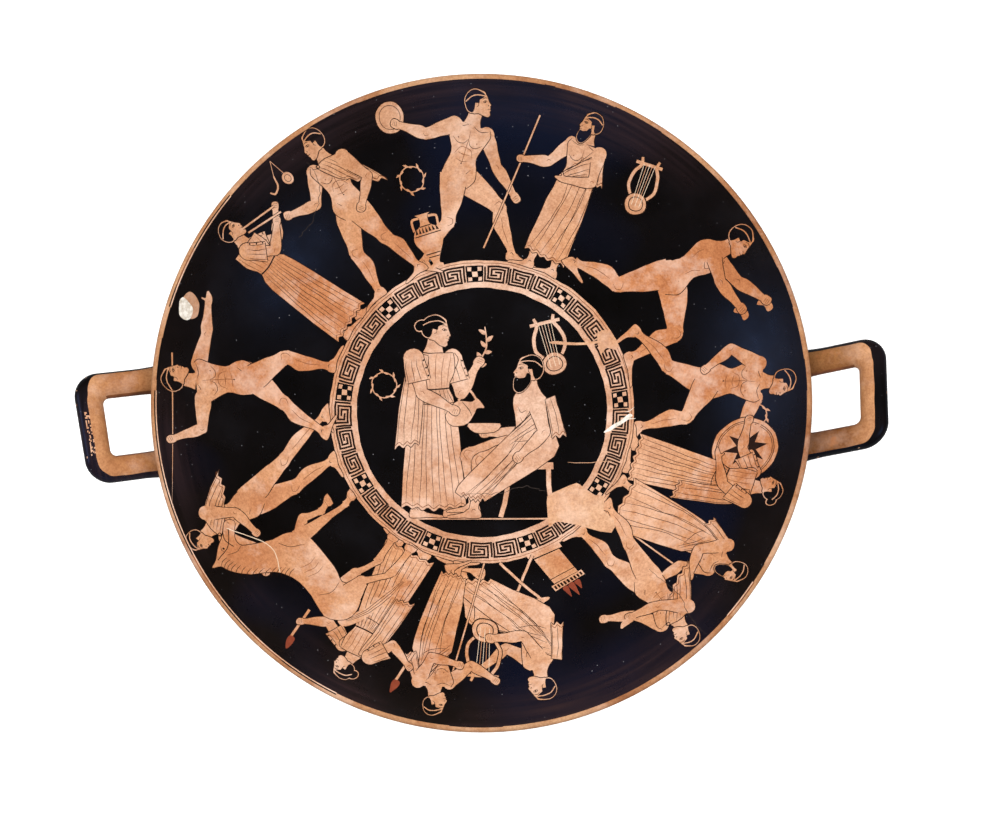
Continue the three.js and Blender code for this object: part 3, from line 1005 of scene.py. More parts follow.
# Angle clockwise from the top, scene, size, and whether it faces left
FRIEZE = [
    (354, discus_thrower, 1.14, False),
    (22, trainer, 1.02, True),
    (37, hung_lyre, 1.0, False),
    (55, jumper, 1.24, False),
    (83, shield_runner, 1.15, False),
    (107, wreath_bearer, 1.02, True),
    (122, leaning_man, 1.04, False),
    (141, offering, 1.08, False),
    (168, lyre_player, 1.2, False),
    (191, listener, 1.04, True),
    (207, torch_bearer, 1.0, False),
    (229, groom_and_horse, 1.04, False),
    (277, javelin_thrower, 1.15, False),
    (304, flute_player, 1.04, False),
    (327, athlete, 1.1, True),
    (343, jar_scene, 1.0, False),
]

# The ring of meanders and chequers round the middle
RING_OUTER = 77.6
PATTERN_OUTER = 75.0
PATTERN_MIDDLE = 70.9
PATTERN_INNER = 66.8
RING_INNER = 63.9
MEANDER_LINE = 1.0
MEANDER_GAP = 0.62
CHEQUER_WIDTH = 8.8
MEANDER_A = [(0, 5), (0, 0), (6, 0), (6, 4), (2, 4), (2, 2), (4, 2)]
MEANDER_B = [(7, 0), (7, 5), (1, 5), (1, 1), (5, 1), (5, 3), (3, 3)]
CHEQUER_ANGLES = [93, 132, 172, 211, 249, 289, 327, 365, 415]


def ring_point(turn, depth):
    """A place on the pattern ring: depth 0 is its outer edge and 1 its inner edge."""
    radius = lerp(PATTERN_OUTER, PATTERN_INNER, depth)
    return directions(np.radians(turn)) * np.reshape(radius, (-1, 1))


def ring_piece(painting, start, width, line):
    line = np.asarray(line, float)
    steps = np.linspace(0, 1, 5)[:, None]
    fine = np.vstack([lerp(a, b, steps)[:-1] for a, b in zip(line, line[1:])] + [line[-1:]])
    placed = ring_point(start + fine[:, 0] * width, fine[:, 1])
    painting.add(strip(hand_wobble(placed), MEANDER_LINE), "line")


def chequer(painting, start, width):
    """Five pale squares on a black one."""
    corner = np.array([(0, 0), (0.5, 0), (1, 0), (1, 1), (0.5, 1), (0, 1)], float)

    def place(square):
        return ring_point(start + square[:, 0] * width, square[:, 1])

    painting.add(place(corner), "gloss")
    squares = [np.array([low, other]) + corner * 0.23 for low in (0.08, 0.69) for other in (0.08, 0.69)]
    for square in squares + [corner * 0.32 + 0.34]:
        painting.add(hand_wobble(place(square)), "pale_clay")


def meander_ring(painting):
    brush = Brush(painting, lambda points: points)
    brush.disc((0, 0), RING_OUTER, "clay", 180)
    for start in range(0, 360, 60):
        turn = np.radians(np.linspace(start, start + 60.5, 24))
        arc = directions(turn) * (RING_OUTER - 1.25)
        painting.add(strip(hand_wobble(arc), 0.28), "dilute_and_shade")
    chequer_width = CHEQUER_WIDTH / PATTERN_MIDDLE * 180 / math.pi
    for left, right in zip(CHEQUER_ANGLES, CHEQUER_ANGLES[1:] + [CHEQUER_ANGLES[0] + 360]):
        chequer(painting, left - chequer_width / 2, chequer_width)
        room = right - left - chequer_width
        count = 4 if room > 40 else 3
        width = (room - MEANDER_GAP) / count - MEANDER_GAP
        for i in range(count):
            start = left + chequer_width / 2 + MEANDER_GAP + i * (width + MEANDER_GAP)
            for route in (MEANDER_A, MEANDER_B):
                line = np.array(route, float) / (7, 5)
                ring_piece(painting, start, width, line * (0.96, 0.92) + (0.02, 0.04))
    brush.disc((0, 0), RING_INNER, "gloss", 160)


def tondo(painting):
    """A seated man with a bowl, and a woman who pours for him from a jug."""
    ground = -54.0
    size = 1.34
    b = Brush(painting, lambda points: points)
    half = math.sqrt(RING_INNER**2 - ground**2) - 0.3
    floor_line = [(-half, ground - 0.9), (half, ground - 0.9), (half + 0.5, ground), (-half - 0.5, ground)]
    b.fill(floor_line, "pale_clay")
    lyre(b, (37, 26), turn=14, size=1.25)
    wreath(b, (-50, 14), 6.4)

    man = b.moved(23, ground, size=size, mirrored=True)
    f = Figure(man, [(82, -4), (76, 8)], [(8, 90), (-16, 46)], lean=-4, nod=2, open_chest=False)
    seat = f.hip + (-1, -6)
    for across, bow in ((-7, -3), (8, 3)):
        middle = (seat[0] + across + bow * 0.2, seat[1] * 0.5)
        leg = [seat + (across, 0), middle, (seat[0] + across + bow, 0.3)]
        man.bar(smooth(leg), 3.2, 2.4)
    man.fill([seat + (-9, -2), seat + (10, -2), seat + (10, 0.6), seat + (-9, 0.6)])

    woman = b.moved(-25, ground, size=size)
    g = Figure(woman, [(10, 3), (-8, -5)], [(14, 150), (14, 62)], nod=-6)
    sprig = g.hands[0] + (1.0, 1.5)
    leaf_branch(woman, [sprig + (-3, -9), sprig, sprig + (2.5, 6), sprig + (2.0, 13)], 7)
    g.draw(hair="bun", dress="dress", near_arm=False)
    f.draw(beard=True, dress="himation")
    bowl = f.hands[0] + (1.6, 2.2)
    lay_shape(man, bowl + [(-6, 1.4), (6, 1.4), (3.6, -1.8), (-3.6, -1.8)])
    jug = g.hands[1] + (3.4, -2.0)
    body = [(-2.4, -5.0), (2.4, -5.0), (4.8, 0.5), (3.0, 4.4), (1.7, 6.4)]
    body += [(2.8, 9.0), (-1.6, 8.6), (-1.5, 6.4), (-3.2, 4.2), (-4.8, 0.5)]
    lay_shape(woman, at(body, jug, -58))
    woman.curve(at([(-1.4, 8.0), (-5.8, 7.6), (-4.6, 2.2)], jug, -58), "clay", 1.1, taper=0)
    woman.curve(at([(-3.6, 3.2), (0, 3.8), (3.2, 3.4)], jug, -58), "line", RELIEF_LINE)
    g.near_arm("dress")


def wear(painting):
    """The breaks and repairs inside the bowl."""
    b = Brush(painting, lambda points: points)
    patch = [(33.6, -43), (40, -39.5), (48.4, -36.4), (52, -39), (57, -42.6), (62.3, -43.5), (61.8, -50.7)]
    patch += [(66.9, -55.3), (65.9, -62.5), (54, -59.5), (46, -57.5), (38, -56), (34, -58.9), (33.4, -50)]
    b.blob(patch, "infill", steps=2)
    upper = [(59, 40.7), (64.1, 41.6), (67.2, 38.6), (69.4, 35.4), (68.2, 31.6), (63.4, 32.8)]
    b.blob(upper + [(60.8, 29.2), (59.4, 34.6)], "infill", steps=2)
    b.blob([(36, 36.6), (48, 35.8), (62, 36.4), (62, 35.2), (48, 34.6), (36, 35.2)], "infill", steps=3)
    tan = [(-149.5, 52), (-146.4, 55.6), (-143.2, 54), (-141.6, 49), (-143, 43.6), (-146.8, 42.4), (-149, 46)]
    b.blob(tan, "worn_clay")
    white = [(-151, 50.5), (-149.2, 52.8), (-146.8, 50.4), (-144.8, 47), (-146, 42.6), (-148.6, 41.4)]
    b.blob(white + [(-151, 44)], "plaster")
    scratch = [(62.2, -10.4), (66, -7.2), (70.4, -4.4), (74.8, -1.2), (76.8, -1.6), (75.4, -3.4)]
    b.blob(scratch + [(70.6, -6.4), (66, -9.4)], "plaster", steps=3)
    b.curve([(71.5, -5.6), (74.5, -3.8), (78.6, -3.4)], "plaster", 0.5, taper=0.8)
    b.curve([(73, -0.4), (75.5, 0.4), (78, 2.4)], "plaster", 0.35, taper=0.8)
    b.curve([(44, -25.5), (56, -25.8), (66, -25.2)], "infill", 0.3)
    cracks = [
        [(-10, -42), (8, -41), (22, -38), (32, -40)],
        [(-92, 86), (-84, 98), (-82, 112), (-88, 122)],
        [(84, -82), (98, -94), (106, -110), (112, -116)],
    ]
    for crack in cracks:
        line = smooth(crack, steps=9)
        rough = np.array([[random.uniform(-0.5, 0.5), random.uniform(-0.5, 0.5)] for _ in line])
        b.stroke(line + rough, "crack", 0.25, taper=0.4)


# Angle from the middle of a side, scene, and whether it faces left
OUTSIDE_ROW = [
    (-46, leaning_man, False),
    (-23, athlete, False),
    (0, flute_player, False),
    (23, listener, True),
    (46, trainer, True),
]


def paint_inside():
    painting = Painting(inside.edge - 0.15)
    meander_ring(painting)
    tondo(painting)
    for angle, scene, size, mirrored in FRIEZE:
        scene(Brush(painting, standing_place(angle, RING_OUTER)).moved(size=size, mirrored=mirrored))
    wear(painting)
    return painting


def paint_outside():
    """Plainer: palmettes under the handles and five people on each side."""
    painting = Painting(outside.edge - 0.15)
    circle = directions(np.linspace(0, 2 * math.pi, 360, endpoint=False))
    painting.add(circle * (outside.edge - 1.1), "gloss")
    for radius, colour in ((70.2, "clay"), (69.0, "gloss"), (68.2, "clay"), (67.5, "gloss")):
        painting.add(circle * radius, colour)
    for handle in (90, 270):
        base = Brush(painting, outside_place(handle, 72))
        palmette(base.moved(0, 12), 1.5, 11)
        for side in (False, True):
            half = base.moved(mirrored=side)
            leaf_branch(half, [(6, 6), (24, 8), (36, 22), (34, 40), (46, 52)], 9)
            palmette(half.moved(44, 26), 0.9, 7, turn=-50)
    for middle in (0, 180):
        for offset, scene, mirrored in OUTSIDE_ROW:
            scene(Brush(painting, outside_place(middle + offset, 71)).moved(size=1.16, mirrored=mirrored))
    return painting


# The mesh
MAP_RADIUS = 0.238
INSIDE_MAP = (0.25, 0.74)
OUTSIDE_MAP = (0.75, 0.74)
STEM_MAP = (0.2, 0.24)
UNDERSIDE_MAP = (0.58, 0.24)
FOOT_MAP_RADIUS = 0.18
# Corner of each handle's place on the texture map, with its length and width there
HANDLE_MAPS = [(0.8, 0.02), (0.8, 0.25)]
HANDLE_MAP_LENGTH = 0.18
HANDLE_MAP_WIDTH = 0.2


def ring_plan(radius):
    return directions(np.linspace(0, 2 * math.pi, AROUND, endpoint=False)) * radius


def map_spot(centre, i, reach):
    """A place on the texture map, at corner i of a ring and a reach from a centre."""
    a = 2 * math.pi * i / AROUND
    return (centre[0] + math.cos(a) * reach, centre[1] + math.sin(a) * reach)


class CupMesh:
    """Points, faces, colours and places on the texture map, gathered for one mesh."""

    def __init__(self):
        self.points = []
        self.normals = []
        self.faces = []
        self.colours = []
        self.maps = []

    def add_points(self, points, normals):
        """Adds points and returns their numbers."""
        first = sum(len(p) for p in self.points)
        self.points.append(np.asarray(points, float))
        self.normals.append(np.asarray(normals, float))
        return list(range(first, first + len(points)))

    def add_ring(self, radius, height, outward, upward):
        """Adds a level ring of points. Outward and upward are the parts of their normals."""
        points = np.column_stack([ring_plan(radius), np.full(AROUND, height)])
        return self.add_points(points, np.column_stack([ring_plan(outward), np.full(AROUND, upward)]))

    def add_face(self, corners, colour, spots):
        self.faces.append(corners)
        self.colours.append(colour)
        self.maps.extend(spots)

    def join_rows(self, rows, colour_at, spot_at, order=1):
        """Quads between rings of corners. Order -1 turns the faces over."""
        for row, (upper, lower) in enumerate(zip(rows, rows[1:])):
            for i in range(len(upper)):
                j = (i + 1) % len(upper)
                corners = [upper[i], lower[i], lower[j], upper[j]]
                spots = [spot_at(row, i), spot_at(row + 1, i), spot_at(row + 1, i + 1), spot_at(row, i + 1)]
                self.add_face(corners[::order], colour_at(row, i), spots[::order])


def sheet_points(low, high):
    """Evenly spread points between two rings, in staggered rows."""
    rows = int((high - low) / SHEET_SPACING)
    points = []
    for row in range(1, rows):
        radius = lerp(low, high, row / rows)
        count = max(int(2 * math.pi * radius / SHEET_SPACING), 6)
        turn = (np.arange(count) + 0.5 * (row % 2)) * 2 * math.pi / count
        points.append(directions(turn) * radius)
    return np.vstack(points)


def colour_edges(faces, colours):
    """The edges between two colours, and those with a face on one side alone."""
    seen = {}
    for corners, name in zip(faces, colours):
        for a, b in zip(corners, corners[1:] + corners[:1]):
            seen.setdefault((min(a, b), max(a, b)), []).append(name)
    return [edge for edge, names in seen.items() if len(names) == 1 or names[0] != names[1]]


def eased_edges(places, edges, fixed):
    """The edges without the corners that lie almost on the line between their neighbours."""
    near = {}
    for a, b in edges:
        near.setdefault(a, set()).add(b)
        near.setdefault(b, set()).add(a)
    for corner in sorted(near):
        if corner in fixed or len(near[corner]) != 2:
            continue
        before, after = sorted(near[corner])
        chord = places[after] - places[before]
        length = math.hypot(*chord)
        arm = places[corner] - places[before]
        away = abs(arm[0] * chord[1] - arm[1] * chord[0]) / max(length, 1e-6)
        if length > SHEET_SPACING or away > EDGE_PLAY or after in near[before]:
            continue
        near[before] ^= {corner, after}
        near[after] ^= {corner, before}
        del near[corner]
    return sorted((a, b) for a, others in near.items() for b in others if a < b)


def triangulate(points, edges, outlines):
    """Corners, faces, the corner each point became, and the outlines that cover each face."""
    found = delaunay_2d_cdt([Vector(p) for p in points], edges, outlines, 0, 1e-5, True)
    became = {old: new for new, olds in enumerate(found[3]) for old in olds}
    return np.array([tuple(v) for v in found[0]]), found[2], became, found[5]


def painted_sheet(cup, wall, painting, holes, base, map_centre):
    """Lays a painting with its rings and holes on the wall and returns the rings' corners."""
    rings = [ring_plan(wall.edge)] + holes
    points = [tuple(p) for ring in rings for p in ring]
    starts = np.cumsum([0] + [len(ring) for ring in rings])
    numbers = [list(range(start, end)) for start, end in zip(starts, starts[1:])]
    outlines = [n if signed_area(ring) > 0 else n[::-1] for ring, n in zip(rings, numbers)]
    outlines += [[i + len(points) for i in outline] for outline in painting.outlines]
    flat, faces, became, covers = triangulate(points + painting.points, [], outlines)
    colours = [base] + [None] * len(holes) + painting.colours
    patches = []
    patch_colours = []
    for corners, layers in zip(faces, covers):
        if 0 in layers and not any(1 <= layer <= len(holes) for layer in layers):
            patches.append(corners)
            patch_colours.append(colours[max(layers)])

    # A lighter sheet: the edges between colours, eased, with evenly spread points
    fixed = [became[i] for i in range(len(points))]
    edges = eased_edges(flat, colour_edges(patches, patch_colours), set(fixed))
    kept = fixed + sorted({i for edge in edges for i in edge} - set(fixed))
    number = {old: new for new, old in enumerate(kept)}
    edges = [(number[a], number[b]) for a, b in edges]
    spread = sheet_points(BOWL_JOIN_RADIUS if holes else 0, wall.edge)
    plan, faces, became, _ = triangulate([*flat[kept], *spread], edges, [])
    seen = {}
    merged = [seen.setdefault(place, i) for i, place in enumerate(map(tuple, plan.round(2)))]
    placed = cup.add_points(wall.points(plan), wall.normals(plan))
    spots = np.asarray(map_centre) + plan / RIM_RADIUS * MAP_RADIUS * (wall.side, 1)
    under = BVHTree.FromPolygons([(x, y, 0) for x, y in flat], patches)
    for corners in faces:
        middle = plan[corners].mean(axis=0)
        patch = under.ray_cast(Vector((*middle, 1)), Vector((0, 0, -1)))[2]
        corners = [merged[i] for i in corners][:: wall.side]
        if patch is not None and len(set(corners)) == 3:
            cup.add_face([placed[i] for i in corners], patch_colours[patch], [spots[i] for i in corners])
    return [[placed[merged[became[i]]] for i in ring] for ring in numbers]


def lip(cup, inner, outer):
    """The rounded lip between the inside's outermost ring and the outside's."""
    slope = wall_rise * BOWL_FULLNESS / lip_centre[0]
    start = math.atan2(1, -slope)
    rows = [inner]
    for i in range(1, LIP_ROWS):
        angle = start - math.pi * i / LIP_ROWS
        outward, upward = math.cos(angle), math.sin(angle)
        radius, height = lip_centre + lip_radius * np.array([outward, upward])
        rows.append(cup.add_ring(radius, height, outward, upward))
    rows.append(outer)

    def spot_at(row, i):
        return map_spot(INSIDE_MAP, i, MAP_RADIUS * (1 + 0.002 * row))

    def colour_at(row, i):
        angle = 360 * i / AROUND
        worn = math.sin(math.radians(7 * angle)) + math.sin(math.radians(19 * angle + 50))
        has_line = any(low < angle < high for low, high in LIP_LINE_SPANS)
        if row >= LIP_ROWS - 2:
            return "line"
        if has_line and row < LIP_LINE_ROWS[1]:
            if row < LIP_LINE_ROWS[0]:
                return "pale_clay"
            return "dilute_and_shade" if worn > 0.5 else "line"
        if row == 0 or row == 1 and worn > 0.9:
            return "gloss"
        return "lip_clay"

    cup.join_rows(rows, colour_at, spot_at)


def bent(start, end, bends):
    """A curve from start to end. Each bend is a share of the way across and a share of the way up."""
    return bezier(start, *[lerp(start, end, np.asarray(bend)) for bend in bends], end)


def rounded(points, radius=0.35):
    """The outline with its sharp corners cut by short curves."""
    out = [points[0]]
    for before, here, after in zip(points, points[1:], points[2:]):
        back, ahead = unit(before - here), unit(after - here)
        if np.dot(back, ahead) > SHARPEST_LEFT:
            reach = min(radius, np.linalg.norm(before - here) / 2.5, np.linalg.norm(after - here) / 2.5)
            start = here + back * reach
            out.append(start)
            out.extend(bezier(start, here, here + ahead * reach, steps=3))
        else:
            out.append(here)
    out.append(points[-1])
    return np.array(out)


def foot_outline():
    """From the bowl's underside down the stem, over the foot and up into the stem's hollow."""
    join = np.array([BOWL_JOIN_RADIUS, outside.height_at(BOWL_JOIN_RADIUS)])
    waist = np.array([STEM_RADIUS, STEM_WAIST_HEIGHT])
    step_top = np.array([FOOT_STEP_RADIUS, FOOT_EDGE_HEIGHT + FOOT_STEP_RISE])
    edge_top = np.array([(FOOT_STEP_RADIUS + FOOT_RADIUS) / 2, FOOT_EDGE_HEIGHT])
    edge_middle = np.array([FOOT_RADIUS, FOOT_EDGE_HEIGHT / 2])
    rest_outer = np.array([FOOT_RADIUS - REST_EDGE_ROUNDING, 0])
    rest_inner = np.array([REST_INNER_RADIUS, 0])
    mouth = np.array([HOLLOW_MOUTH_RADIUS, HOLLOW_MOUTH_HEIGHT])
    top = np.array([HOLLOW_TOP_RADIUS, HOLLOW_TOP_HEIGHT - HOLLOW_TOP_RADIUS / 2])
    return rounded(
        np.vstack(
            [
                bent(waist, join, STEM_TOP_BEND)[::-1],
                bent(step_top, waist, FOOT_TOP_BEND)[::-1],
                step_top,
                [FOOT_STEP_RADIUS + FOOT_STEP_RISE / 2, FOOT_EDGE_HEIGHT],
                edge_top,
                bezier(edge_top, [FOOT_RADIUS, FOOT_EDGE_HEIGHT], edge_middle, steps=6),
                bezier(edge_middle, [FOOT_RADIUS, 0], rest_outer, steps=6),
                bent(mouth, rest_inner, [UNDERSIDE_BEND])[::-1],
                bent(top, mouth, HOLLOW_BEND)[::-1],
                top,
                [0, HOLLOW_TOP_HEIGHT],
            ]
        )
    )


def foot(cup, upper):
    """The stem and the foot, from the ring where they leave the bowl to the top of the hollow."""
    outline = foot_outline()
    keep = np.append(True, np.linalg.norm(np.diff(outline, axis=0), axis=1) > 1e-3)
    outline = outline[keep]
    tangent = unit(np.gradient(outline, axis=0))
    arc = np.concatenate([[0], np.cumsum(np.linalg.norm(np.diff(outline, axis=0), axis=1))])
    lowest = int(np.argmax(outline[:, 0]))
    rows = [upper]
    for (radius, height), (across, up) in zip(outline[1:-1], tangent[1:-1]):
        rows.append(cup.add_ring(radius, height, -up, across))

    def spot_at(row, i):
        above = row <= lowest
        length = arc[row] if above else arc[-1] - arc[row]
        most = arc[lowest] if above else arc[-1] - arc[lowest]
        reach = FOOT_MAP_RADIUS * (0.12 + 0.88 * length / most)
        return map_spot(STEM_MAP if above else UNDERSIDE_MAP, i, reach)

    def colour_at(row, i):
        radius, height = outline[min(row + 1, len(outline) - 1)]
        if row <= lowest:
            on_edge = radius > FOOT_STEP_RADIUS + 0.2 and height < FOOT_EDGE_HEIGHT + 0.1
            return "plain_clay" if on_edge else "gloss"
        return "gloss" if UNDER_RING[0] < radius < UNDER_RING[1] else "plain_clay"

    cup.join_rows(rows, colour_at, spot_at)
    pole = cup.add_points([[0, 0, HOLLOW_TOP_HEIGHT]], [[0, 0, -1]])[0]
    last = rows[-1]
    for i in range(AROUND):
        spots = [spot_at(len(rows) - 1, i), UNDERSIDE_MAP, spot_at(len(rows) - 1, i + 1)]
        cup.add_face([last[i], pole, last[(i + 1) % AROUND]], "plain_clay", spots)


# Handles


def outline_points(s, start, reach, half_span, corner):
    """Points of a U-shaped outline with round corners, as (outward, sideways)."""
    side = np.where(s < 0.5, -1, 1)
    share = np.where(s < 0.5, s, 1 - s)
    arm = np.clip(share / ARM_SHARE, 0, 1)
    angle = np.clip((share - ARM_SHARE) / CORNER_SHARE, 0, 1) * math.pi / 2
    bar = np.clip((0.5 - share) / (0.5 - ARM_SHARE - CORNER_SHARE), 0, 1)
    outward = lerp(start, reach - corner, arm) + corner * np.sin(angle)
    sideways = (half_span - corner) * bar + corner * np.cos(angle)
    return outward, side * sideways


def handle_points(handle, s, across, upward):
    root_height = CUP_HEIGHT - HANDLE_ROOT_DROP
    bar_height = CUP_HEIGHT - HANDLE_BAR_DROP
    root_reach = lip_centre[0] * ((root_height - wall_start) / wall_rise) ** (1 / BOWL_FULLNESS)
    sweep_start = root_reach - HANDLE_THICKNESS
    inner_half = HANDLE_OPENING_SPAN / 2
    outer_half = inner_half + HANDLE_ARM_WIDTH
    bar_reach = HANDLE_REACH - HANDLE_BAR_WIDTH / 2
    slant_gain = abs(handle["bar_slant"]) * (outer_half - HANDLE_OUTER_CORNER / 2)

    def sheet_height(u):
        share = np.maximum(0, (u - root_reach) / (bar_reach - root_reach))
        return lerp(root_height, bar_height, share**HANDLE_RISE_POWER)

    def root_share(u):
        return smoothstep(root_reach + ROOT_FLARE_LENGTH - u, 0, ROOT_FLARE_LENGTH)

    outer = outline_points(s, sweep_start, HANDLE_REACH, outer_half, HANDLE_OUTER_CORNER)
    inner = outline_points(s, sweep_start, HANDLE_REACH - HANDLE_BAR_WIDTH, inner_half, HANDLE_INNER_CORNER)
    flare = ROOT_FLARE * root_share((outer[0] + inner[0]) / 2) * np.sign(outer[1])
    flat_u = lerp(inner[0], outer[0], (1 + across) / 2)
    flat_v = lerp(inner[1] - flare, outer[1] + flare, (1 + across) / 2)
    share = smoothstep(flat_u, root_reach, HANDLE_REACH)
    u = flat_u + (handle["bar_slant"] * flat_v - slant_gain) * share
    v = flat_v + handle["arm_slant"] * (flat_u - root_reach)
    step = HANDLE_THICKNESS / 20
    normal = unit(np.stack([sheet_height(u - step) - sheet_height(u + step), np.full_like(u, 2 * step)], -1))
    lift = upward * (HANDLE_THICKNESS + ROOT_THICKENING * root_share(u)) / 2
    out = u + normal[..., 0] * lift
    height = sheet_height(u) + normal[..., 1] * lift
    a = math.radians(handle["azimuth"])
    return np.stack([out * math.cos(a) - v * math.sin(a), out * math.sin(a) + v * math.cos(a), height], -1)


def paint_edge(along, handle):
    """The section angle in degrees, above level, where the black ends on top of a handle."""
    arm = np.where(along < 0.5, handle["first_arm_edge"], handle["second_arm_edge"])
    near_bar = smoothstep(np.abs(along - 0.5), 0.25, 0.1)
    waver = 1.2 * np.sin(along * 37 + handle["azimuth"]) + 0.8 * np.sin(along * 83)
    return lerp(arm, handle["bar_edge"], near_bar) + waver


def handle_columns(along, handle):
    """Section angles in radians. The first columns carry black paint and the others are bare."""
    upper = float(paint_edge(np.array(along), handle))
    painted = np.linspace(PAINT_UNDERSIDE, upper, PAINTED_COLUMNS, endpoint=False)
    bare = np.linspace(upper, PAINT_UNDERSIDE + 360, HANDLE_COLUMNS - PAINTED_COLUMNS, endpoint=False)
    return np.radians(np.concatenate([painted, bare]))


def handle_roots(handle):
    """Shares of the handle's length where each column leaves the wall, and the two root rings in plan."""
    tries = np.linspace(0, 0.2, 1600)
    shares = []
    rings = []
    for end in (0, 1):
        angles = handle_columns(end, handle)
        s = tries if end == 0 else 1 - tries
        found = []
        for angle in angles:
            p = handle_points(handle, s, np.cos(angle) + 0 * s, np.sin(angle) + 0 * s)
            above = p[:, 2] - outside.height_at(np.hypot(p[:, 0], p[:, 1]))
            i = int(np.argmax(above < 0))
            part = above[i - 1] / (above[i - 1] - above[i])
            found.append(lerp(s[i - 1], s[i], part))
        found = np.array(found)
        shares.append(found)
        rings.append(handle_points(handle, found, np.cos(angles), np.sin(angles))[:, :2])
    return shares, rings


def add_handle(cup, handle, shares, first_ring, last_ring, map_corner):
    rows = [first_ring]
    share = np.linspace(0, 1, HANDLE_ROWS + 1)
    share = lerp(share, smoothstep(share, 0, 1), 0.25)
    for i in range(1, HANDLE_ROWS):
        angles = handle_columns(share[i], handle)
        s = lerp(shares[0], shares[1], share[i])
        points = handle_points(handle, s, np.cos(angles), np.sin(angles))
        rows.append(cup.add_points(points, np.full(points.shape, np.nan)))
    rows.append(last_ring)

    def colour_at(row, column):
        near_edge = PAINTED_COLUMNS - 4 <= column < PAINTED_COLUMNS
        flaked = handle["flaked"] and abs(share[row] - handle["flaked"]) < FLAKED_LENGTH
        chipped = random.random() < (0.4 if flaked and near_edge else 0.002)
        if column < PAINTED_COLUMNS:
            return "pale_clay" if chipped else "gloss"
        on_arm = abs(share[row] - 0.5) > 0.22
        # Painted shade: a dark stripe along the inner edge of each arm, where the rounded clay turns away
        # from the light
        if on_arm and abs(column - SHADED_EDGE_COLUMN) < 2:
            return "dilute_and_shade"
        return handle["clay"]

    def spot_at(row, column):
        left, bottom = map_corner
        x = left + HANDLE_MAP_LENGTH * row / HANDLE_ROWS
        return (x, bottom + HANDLE_MAP_WIDTH * column / HANDLE_COLUMNS)

    cup.join_rows(rows, colour_at, spot_at, order=-1)


# Materials
BUMP_DISTANCE = 0.0002


def colour(red, green, blue):
    """A colour as it shows on a screen, 0 to 255, for the renderer."""
    channels = []
    for value in (red, green, blue):
        c = value / 255
        channels.append(c / 12.92 if c <= 0.04045 else ((c + 0.055) / 1.055) ** 2.4)
    return (*channels, 1)


class Shader:
    """A node tree with a Principled shader, built by short calls."""

    def __init__(self, name):
        self.material = bpy.data.materials.new(name)
        self.material.use_nodes = True
        self.tree = self.material.node_tree
        self.surface = self.tree.nodes["Principled BSDF"]
        place = self.tree.nodes.new("ShaderNodeTexCoord")
        self.place = place.outputs["Object"]

    def node(self, kind, inputs, out=0, **settings):
        made = self.tree.nodes.new("ShaderNode" + kind)
        for key, value in settings.items():
            setattr(made, key, value)
        for key, value in inputs.items():
            socket = made.inputs[key]
            if isinstance(value, bpy.types.NodeSocket):
                self.tree.links.new(value, socket)
            else:
                socket.default_value = value
        return made.outputs[out]

    def noise(self, scale, detail=4.0, rough=0.55, place=None):
        inputs = {"Vector": place or self.place, "Scale": scale, "Detail": detail, "Roughness": rough}
        return self.node("TexNoise", inputs)

    def math(self, operation, a, b):
        return self.node("Math", {0: a, 1: b}, operation=operation)

    def ramp(self, value, stops):
        made = self.tree.nodes.new("ShaderNodeValToRGB")
        self.tree.links.new(value, made.inputs[0])
        elements = made.color_ramp.elements
        while len(elements) < len(stops):
            elements.new(0.5)
        for element, (position, shade) in zip(elements, stops):
            element.position = position
            element.color = shade if isinstance(shade, tuple) else (shade, shade, shade, 1)
        return made.outputs["Color"]

    def fade(self, value, low, high, start=0.0, end=1.0):
        return self.ramp(value, [(low, start), (high, end)])

    def times(self, a, b):
        return self.mix(1.0, a, b, "MULTIPLY")

    def mix(self, factor, a, b, blend="MIX"):
        made = self.tree.nodes.new("ShaderNodeMix")
        made.data_type = "RGBA"
        made.blend_type = blend
        for key, value in (("Factor", factor), ("A", a), ("B", b)):
            sockets = [s for s in made.inputs if s.name == key and s.enabled]
            if isinstance(value, bpy.types.NodeSocket):
                self.tree.links.new(value, sockets[0])
            else:
                sockets[0].default_value = value
        return [s for s in made.outputs if s.enabled][0]

    def radius(self):
        """Distance from the cup's axis, in metres."""
        flat = self.node("VectorMath", {0: self.place, 1: (1, 1, 0)}, operation="MULTIPLY")
        return self.node("VectorMath", {0: flat}, out=1, operation="LENGTH")

    def streak_place(self, rings, turns):
        """Coordinates that stretch a pattern round the axis, as a turning wheel does."""
        split = self.node("SeparateXYZ", {0: self.place}, out=0)
        x, y = split, split.node.outputs[1]
        angle = self.math("ARCTAN2", y, x)
        made = self.tree.nodes.new("ShaderNodeCombineXYZ")
        self.tree.links.new(self.math("MULTIPLY", self.radius(), rings), made.inputs[0])
        self.tree.links.new(self.math("MULTIPLY", angle, turns), made.inputs[1])
        return made.outputs[0]

    def finish(self, base, rough, bump=None, strength=0.0, **constants):
        links = self.tree.links
        for socket, value in (("Base Color", base), ("Roughness", rough)):
            if isinstance(value, bpy.types.NodeSocket):
                links.new(value, self.surface.inputs[socket])
            else:
                self.surface.inputs[socket].default_value = value
        if bump is not None:
            made = self.node("Bump", {"Height": bump, "Strength": strength, "Distance": BUMP_DISTANCE})
            links.new(made, self.surface.inputs["Normal"])
        for key, value in constants.items():
            self.surface.inputs[key.replace("_", " ")].default_value = value
        return self.material


